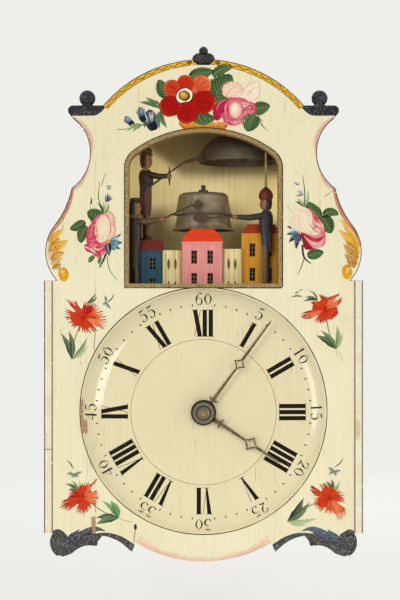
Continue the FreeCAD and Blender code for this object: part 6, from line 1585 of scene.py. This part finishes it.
class CLOCK_OT_shield(ClockPiece, bpy.types.Operator):
    """Paints the shield board, its strips, its finials and the lining of the opening"""
    bl_idname = "clock.shield"
    bl_label = "Shield"

    def make(self, scene):
        look = scene.clock_shield
        dress(shield_oil(look), "shield_board")
        dress(strip_paint(look), "edge_strips")
        dress(bead_paint(look), "opening_bead")
        dress(dark_lacquer("finial_lacquer", look.ornament, look.ornament_fleck), "side_finials", "finial_top")


class CLOCK_OT_dial(ClockPiece, bpy.types.Operator):
    """Letters the dial: circles, hours, minutes and dots"""
    bl_idname = "clock.dial"
    bl_label = "Dial"

    def make(self, scene):
        look = scene.clock_dial
        brush = Brushwork("dial_lettering", 3)
        dial_lettering(brush, ((look.outer_ring / MM, 0.95, srgb(44, 33, 18)),
            (look.inner_ring / MM, 0.5, srgb(128, 108, 68))))
        brush.made(brush_oil("dial_ink", 0.7, 0.15), "shield_paint", surface_of("shield_board"))


class CLOCK_OT_flowers(ClockPiece, bpy.types.Operator):
    """Paints the bouquet, the side roses, the yellow leaves and the carnations"""
    bl_idname = "clock.flowers"
    bl_label = "Flowers"

    def make(self, scene):
        board = surface_of("shield_board")
        oil = brush_oil("flower_oil")
        for name, seed, paint in (("bouquet", 11, bouquet), ("side_roses", 12, side_roses),
                ("yellow_leaves", 13, yellow_leaves), ("carnations", 14, carnations)):
            brush = Brushwork(name, seed)
            paint(brush)
            brush.made(oil, "shield_paint", board)


class CLOCK_OT_edging(ClockPiece, bpy.types.Operator):
    """Paints the crown band, the worn edges and the dark scrolls of the foot"""
    bl_idname = "clock.edging"
    bl_label = "Edging"

    def make(self, scene):
        board = surface_of("shield_board")
        brush = Brushwork("edge_bands", 21)
        outline, *inner = board_loops()
        edging(brush, outline)
        opening_line(brush, min(inner[:2], key=lambda loop: max(v for _, v in loop)))
        brush.made(brush_oil("edge_oil", 0.62, 0.4), "shield_paint", board)
        brush = Brushwork("foot_scrolls", 22)
        scrolls(brush)
        brush.made(scroll_oil(scene.clock_shield), "dark_paint", board)


class CLOCK_OT_hands(ClockPiece, bpy.types.Operator):
    """Darkens the brass of the hands and their nut"""
    bl_idname = "clock.hands"
    bl_label = "Hands"

    def make(self, scene):
        look = scene.clock_metal
        dress(hand_metal(look), "hour_hand", "minute_hand", "hand_nut")


class CLOCK_OT_stage_box(ClockPiece, bpy.types.Operator):
    """Paints the inside of the stage and leaves its outside bare"""
    bl_idname = "clock.stage_box"
    bl_label = "Stage box"

    def make(self, scene):
        look = scene.clock_stage
        wood = scene.clock_wood
        dress(stage_wall(look, wood), "stage_back", "stage_side_left", "stage_side_right")
        dress(bare_wood("roof_pine", wood.pine, wood.pine_dark, "x"), "stage_roof")


class CLOCK_OT_houses(ClockPiece, bpy.types.Operator):
    """Paints the houses and the town walls and fits their window bars"""
    bl_idname = "clock.houses"
    bl_label = "Houses"

    # Each house: wall, wall shade, roof, eaves above the dial's centre, front, and its windows in mm.
    HOUSES = {
        "house_blue": (srgb(54, 84, 98), srgb(38, 62, 76), srgb(120, 48, 40), 145.7, -93.0,
                       ((-46.815, 109.3, 10.4), (-46.815, 128.2, 10.4))),
        "house_pink": (srgb(226, 150, 142), srgb(206, 122, 116), srgb(222, 66, 28), 153.2, -103.5,
                       ((-8.52, 133.0, 12.0), (6.12, 133.0, 12.0), (-8.52, 113.5, 11.0), (6.12, 113.5, 11.0))),
        "house_yellow": (srgb(218, 156, 52), srgb(196, 128, 34), srgb(182, 66, 36), 161.5, -91.0,
                         ((45.06, 117.5, 12.0), (60.36, 117.5, 12.0), (45.06, 140.0, 12.0), (60.36, 140.0, 12.0))),
    }
    PANE_W, BAR, DEEP = 5.0, 0.28, 0.8

    def make(self, scene):
        look = scene.clock_stage
        white = aged_paint("window_white", look.bars, blend(look.bars, (0.2, 0.16, 0.1), 0.3), look.chip, wear=0.75)
        for node, (wall, shade, roof, eaves, front, windows) in self.HOUSES.items():
            dress(house_paint(node + "_oil", wall, shade, roof, eaves, front, look), node)
            spots, faces = [], []
            back, face = front + self.DEEP, front + 0.3
            for x, foot, height in windows:
                left, right, top = x - self.PANE_W / 2, x + self.PANE_W / 2, foot + height
                add_box(spots, faces, (x - self.BAR / 2, face, foot), (x + self.BAR / 2, back, top))
                for share in (1 / 3, 2 / 3):
                    low = foot + height * share - self.BAR / 2
                    add_box(spots, faces, (left, face - 0.04, low), (right, back, low + self.BAR))
            mesh = bpy.data.meshes.new(node + "_window_bars")
            mesh.from_pydata(spots, [], faces)
            fit(mesh, white, node + "_paint")
        dress(town_paint(look), "town_wall_left", "town_wall_right")


class CLOCK_OT_bells(ClockPiece, bpy.types.Operator):
    """Dulls the three bells and the iron that carries them"""
    bl_idname = "clock.bells"
    bl_label = "Bells"

    def make(self, scene):
        look = scene.clock_metal
        dress(worn_metal("bell_metal", look.bell, look.bell_dull, 0.55, 0.12, 0.6), "bell_upper", "bell_lower")
        # The large bell gets the bell colours made darker: painted shade, as it hangs in the shadow of the arch.
        dress(worn_metal("shaded_large_bell_metal", darker(look.bell, 0.6), darker(look.bell_dull, 0.6), 0.55, 0.12, 0.6),
              "bell_large")
        dress(worn_metal("dull_iron", look.iron, look.iron_dull, 0.5, 0.12, 0.8), "bell_post", "bell_post_nut",
              "large_bell_screw", "hanging_plate", "motion_stud", "suspension_stud", "anchor", "pendulum_rod",
              "figure_left_arbor", "figure_upper_arbor")
        dress(worn_metal("wire_iron", srgb(168, 146, 104), srgb(120, 98, 62), 0.55, 0.06, 0.3), "figure_right_arbor")


class CLOCK_OT_figures(ClockPiece, bpy.types.Operator):
    """Paints the three strikers and their hammers"""
    bl_idname = "clock.figures"
    bl_label = "Figures"

    # Each striker: floor, arbor's x and y and facing side, sizes in mm as figure_paint names them, and paints; the
    # third paint, for the far leg, is darkened as painted shade.
    FIGURES = (
        ("left", (-71.7, -62.6, -98.5, 1), (25.0, 73.6, 84.0, 30.0, 30.0, 24.0),
         ((46, 36, 26), (66, 60, 46), (48, 42, 34), (52, 50, 42), (50, 38, 27), (88, 68, 46),
          (112, 96, 72), (48, 40, 32), (66, 50, 28))),
        ("upper", (-20.5, -53.4, -79.0, 1), (22.0, 67.9, 78.5, 49.0, 40.0, 23.0),
         ((40, 30, 24), (116, 80, 58), (82, 56, 42), (94, 54, 40), (46, 32, 26), (54, 38, 30),
          (154, 130, 102), (50, 38, 28), (88, 64, 28))),
        ("right", (-71.7, 57.2, -98.5, -1), (29.0, 79.1, 87.1, 56.0, 39.5, 45.0),
         ((50, 40, 30), (98, 84, 58), (66, 48, 34), (52, 60, 92), (42, 40, 44), (50, 46, 46),
          (64, 58, 54), (44, 36, 30), (104, 38, 26))),
    )

    def make(self, scene):
        look = scene.clock_stage
        for name, place, sizes, paints in self.FIGURES:
            paints = [srgb(*paint) for paint in paints]
            dress(figure_paint(f"figure_{name}_oil", place, sizes, paints, look), f"figure_{name}_body")
        dress(aged_paint("hammer_paint", srgb(86, 68, 50), srgb(54, 42, 32), srgb(140, 106, 74), "x"),
              "figure_left_hammer", "figure_right_hammer", "figure_upper_hammer")


class CLOCK_OT_case(ClockPiece, bpy.types.Operator):
    """Gives the case boards, doors, bars and posts their wood"""
    bl_idname = "clock.case"
    bl_label = "Case"

    def make(self, scene):
        look = scene.clock_wood
        dress(bare_wood("case_pine", look.pine, look.pine_dark), "back_panel", "door_left", "door_right")
        dress(bare_wood("cross_pine", look.pine, look.pine_dark, "x"), "top_board", "bottom_board", "shield_battens")
        dress(bare_wood("beech_upright", look.beech, look.beech_dark, "z", 0.25, 9.0), "corner_posts", "front_bars",
            "rear_bars")


class CLOCK_OT_movement(ClockPiece, bpy.types.Operator):
    """Gives the wheels, pinions and bob their worn brass"""
    bl_idname = "clock.movement"
    bl_label = "Movement"

    def make(self, scene):
        look = scene.clock_metal
        dress(worn_metal("wheel_brass", look.brass, look.brass_dull, 0.38), "great_wheel", "centre_wheel",
            "third_wheel", "escape_wheel", "motion_wheel", "hour_wheel", "cannon_pinion", "hour_strike_wheel",
            "hour_fly", "quarter_strike_wheel", "quarter_fly", "pendulum_bob", "pivot_bushes")


class CLOCK_OT_studio(ClockPiece, bpy.types.Operator):
    """Sets the camera, the lamps, the pale world and the floor"""
    bl_idname = "clock.studio"
    bl_label = "Studio"

    CAMERA = (-0.00315, -1.268, -0.0761)
    AIM = (0.0, -0.1, -0.08)            # what the lamps point at
    LENS, SENSOR = 76.667, 36.0         # in mm

    def make(self, scene):
        look = scene.clock_studio
        scene.view_settings.view_transform = "Standard"
        lens = bpy.data.cameras.new("camera")
        lens.sensor_fit = "VERTICAL"
        lens.sensor_height = self.SENSOR
        lens.lens = self.LENS
        lens.clip_start = 0.01
        camera = bpy.data.objects.new("camera", lens)
        camera.location = self.CAMERA
        camera.rotation_euler = (math.radians(90), 0.0, 0.0)
        scene.collection.objects.link(camera)
        scene.camera = camera
        aim = Vector(self.AIM)
        for name, place, width, height, power in (
                ("key_left", (-0.62, -1.9, 0.45), 0.6, 0.5, look.key),
                ("key_right", (0.62, -1.9, 0.45), 0.6, 0.5, look.key),
                ("strip_left", (-0.98, -1.6, 0.0), 0.8, 0.55, look.strip),
                ("strip_right", (1.42, -1.05, -0.1), 0.6, 1.0, look.strip),
                ("top_fill", (0.0, -0.9, 1.6), 1.4, 0.9, look.fill * 0.2),
                ("back_fill", (0.3, 1.7, 0.9), 1.6, 1.2, look.fill * 1.5)):
            data = bpy.data.lights.new(name, "AREA")
            data.shape = "RECTANGLE"
            data.size, data.size_y = width, height
            data.energy = power
            lamp = bpy.data.objects.new(name, data)
            lamp.location = place
            lamp.visible_glossy = name.startswith("strip")
            lamp.rotation_euler = (aim - Vector(place)).to_track_quat("-Z", "Y").to_euler()
            scene.collection.objects.link(lamp)
        self.world(scene, look)
        self.floor(look)

    def world(self, scene, look):
        world = bpy.data.worlds.new("studio")
        world.use_nodes = True
        scene.world = world
        nodes = Nodes(world.node_tree)
        ray = nodes.node("ShaderNodeLightPath").out.node.outputs
        seen = Socket(nodes, ray["Is Camera Ray"]).at_least(Socket(nodes, ray["Is Glossy Ray"]))
        seen = seen.at_least(Socket(nodes, ray["Is Transmission Ray"]))
        light = nodes.node("ShaderNodeBackground", sockets={"Color": (1.0, 1.0, 1.0), "Strength": look.ambient})
        shown = nodes.node("ShaderNodeBackground", sockets={"Color": look.background, "Strength": 1.0})
        both = nodes.node("ShaderNodeMixShader", sockets={0: seen, 1: light, 2: shown})
        nodes.node("ShaderNodeOutputWorld", sockets={"Surface": both})

    def floor(self, look):
        """A round pale floor that fades out into the background."""
        rings, spokes, reach = 12, 64, 1.6
        spots = [(0.0, -0.06, look.floor_drop)]
        for i in range(1, rings + 1):
            for j in range(spokes):
                angle = math.tau * j / spokes
                x, y = reach * i / rings * math.cos(angle), reach * i / rings * math.sin(angle) - 0.06
                spots.append((x, y, look.floor_drop))
        faces = [(0, 1 + j, 1 + (j + 1) % spokes) for j in range(spokes)]
        for i in range(rings - 1):
            for j in range(spokes):
                a, b = 1 + i * spokes + j, 1 + i * spokes + (j + 1) % spokes
                faces.append((a, a + spokes, b + spokes, b))
        f = Finish("pale_floor")
        away = (f.x * f.x + (f.y + 60.0) * (f.y + 60.0)) ** 0.5
        grit = f.noise(0.08, 4.0)
        tone = f.mix(grit * 0.1, look.floor, blend(look.floor, (0.5, 0.5, 0.5), 0.3))
        material = f.done(Base_Color=tone, Roughness=grit * 0.1 + 0.75, Alpha=away.step(1550.0, 620.0),
            Emission_Color=tone, Emission_Strength=0.45)
        mesh = bpy.data.meshes.new("floor")
        mesh.from_pydata(spots, [], faces)
        mesh.materials.append(material)
        floor = bpy.data.objects.new("floor", mesh)
        bpy.context.scene.collection.objects.link(floor)


PIECES = (CLOCK_OT_shield, CLOCK_OT_dial, CLOCK_OT_edging, CLOCK_OT_flowers, CLOCK_OT_hands, CLOCK_OT_stage_box,
          CLOCK_OT_houses, CLOCK_OT_bells, CLOCK_OT_figures, CLOCK_OT_case, CLOCK_OT_movement, CLOCK_OT_studio)
LOOKS = {"clock_shield": ShieldLook, "clock_dial": DialLook, "clock_stage": StageLook, "clock_metal": MetalLook,
         "clock_wood": WoodLook, "clock_studio": StudioLook}


class CLOCK_PT_sidebar(bpy.types.Panel):
    """Lists the clock's pieces and settings"""
    bl_label = "Shield Clock"
    bl_space_type = "VIEW_3D"
    bl_region_type = "UI"
    bl_category = "Clock"

    def draw(self, context):
        for piece in PIECES:
            self.layout.operator(piece.bl_idname)
        for attribute, look in LOOKS.items():
            box = self.layout.box()
            for name in look.__annotations__:
                box.prop(getattr(context.scene, attribute), name)


def register():
    for kind in (*LOOKS.values(), *PIECES, CLOCK_PT_sidebar):
        bpy.utils.register_class(kind)
    for attribute, look in LOOKS.items():
        setattr(bpy.types.Scene, attribute, bpy.props.PointerProperty(type=look))


def unregister():
    for attribute in LOOKS:
        delattr(bpy.types.Scene, attribute)
    for kind in (CLOCK_PT_sidebar, *reversed(PIECES), *LOOKS.values()):
        bpy.utils.unregister_class(kind)


def main():
    register()
    for piece in PIECES:
        group, name = piece.bl_idname.split(".")
        getattr(getattr(bpy.ops, group), name)()


if __name__ == "__main__":
    main()
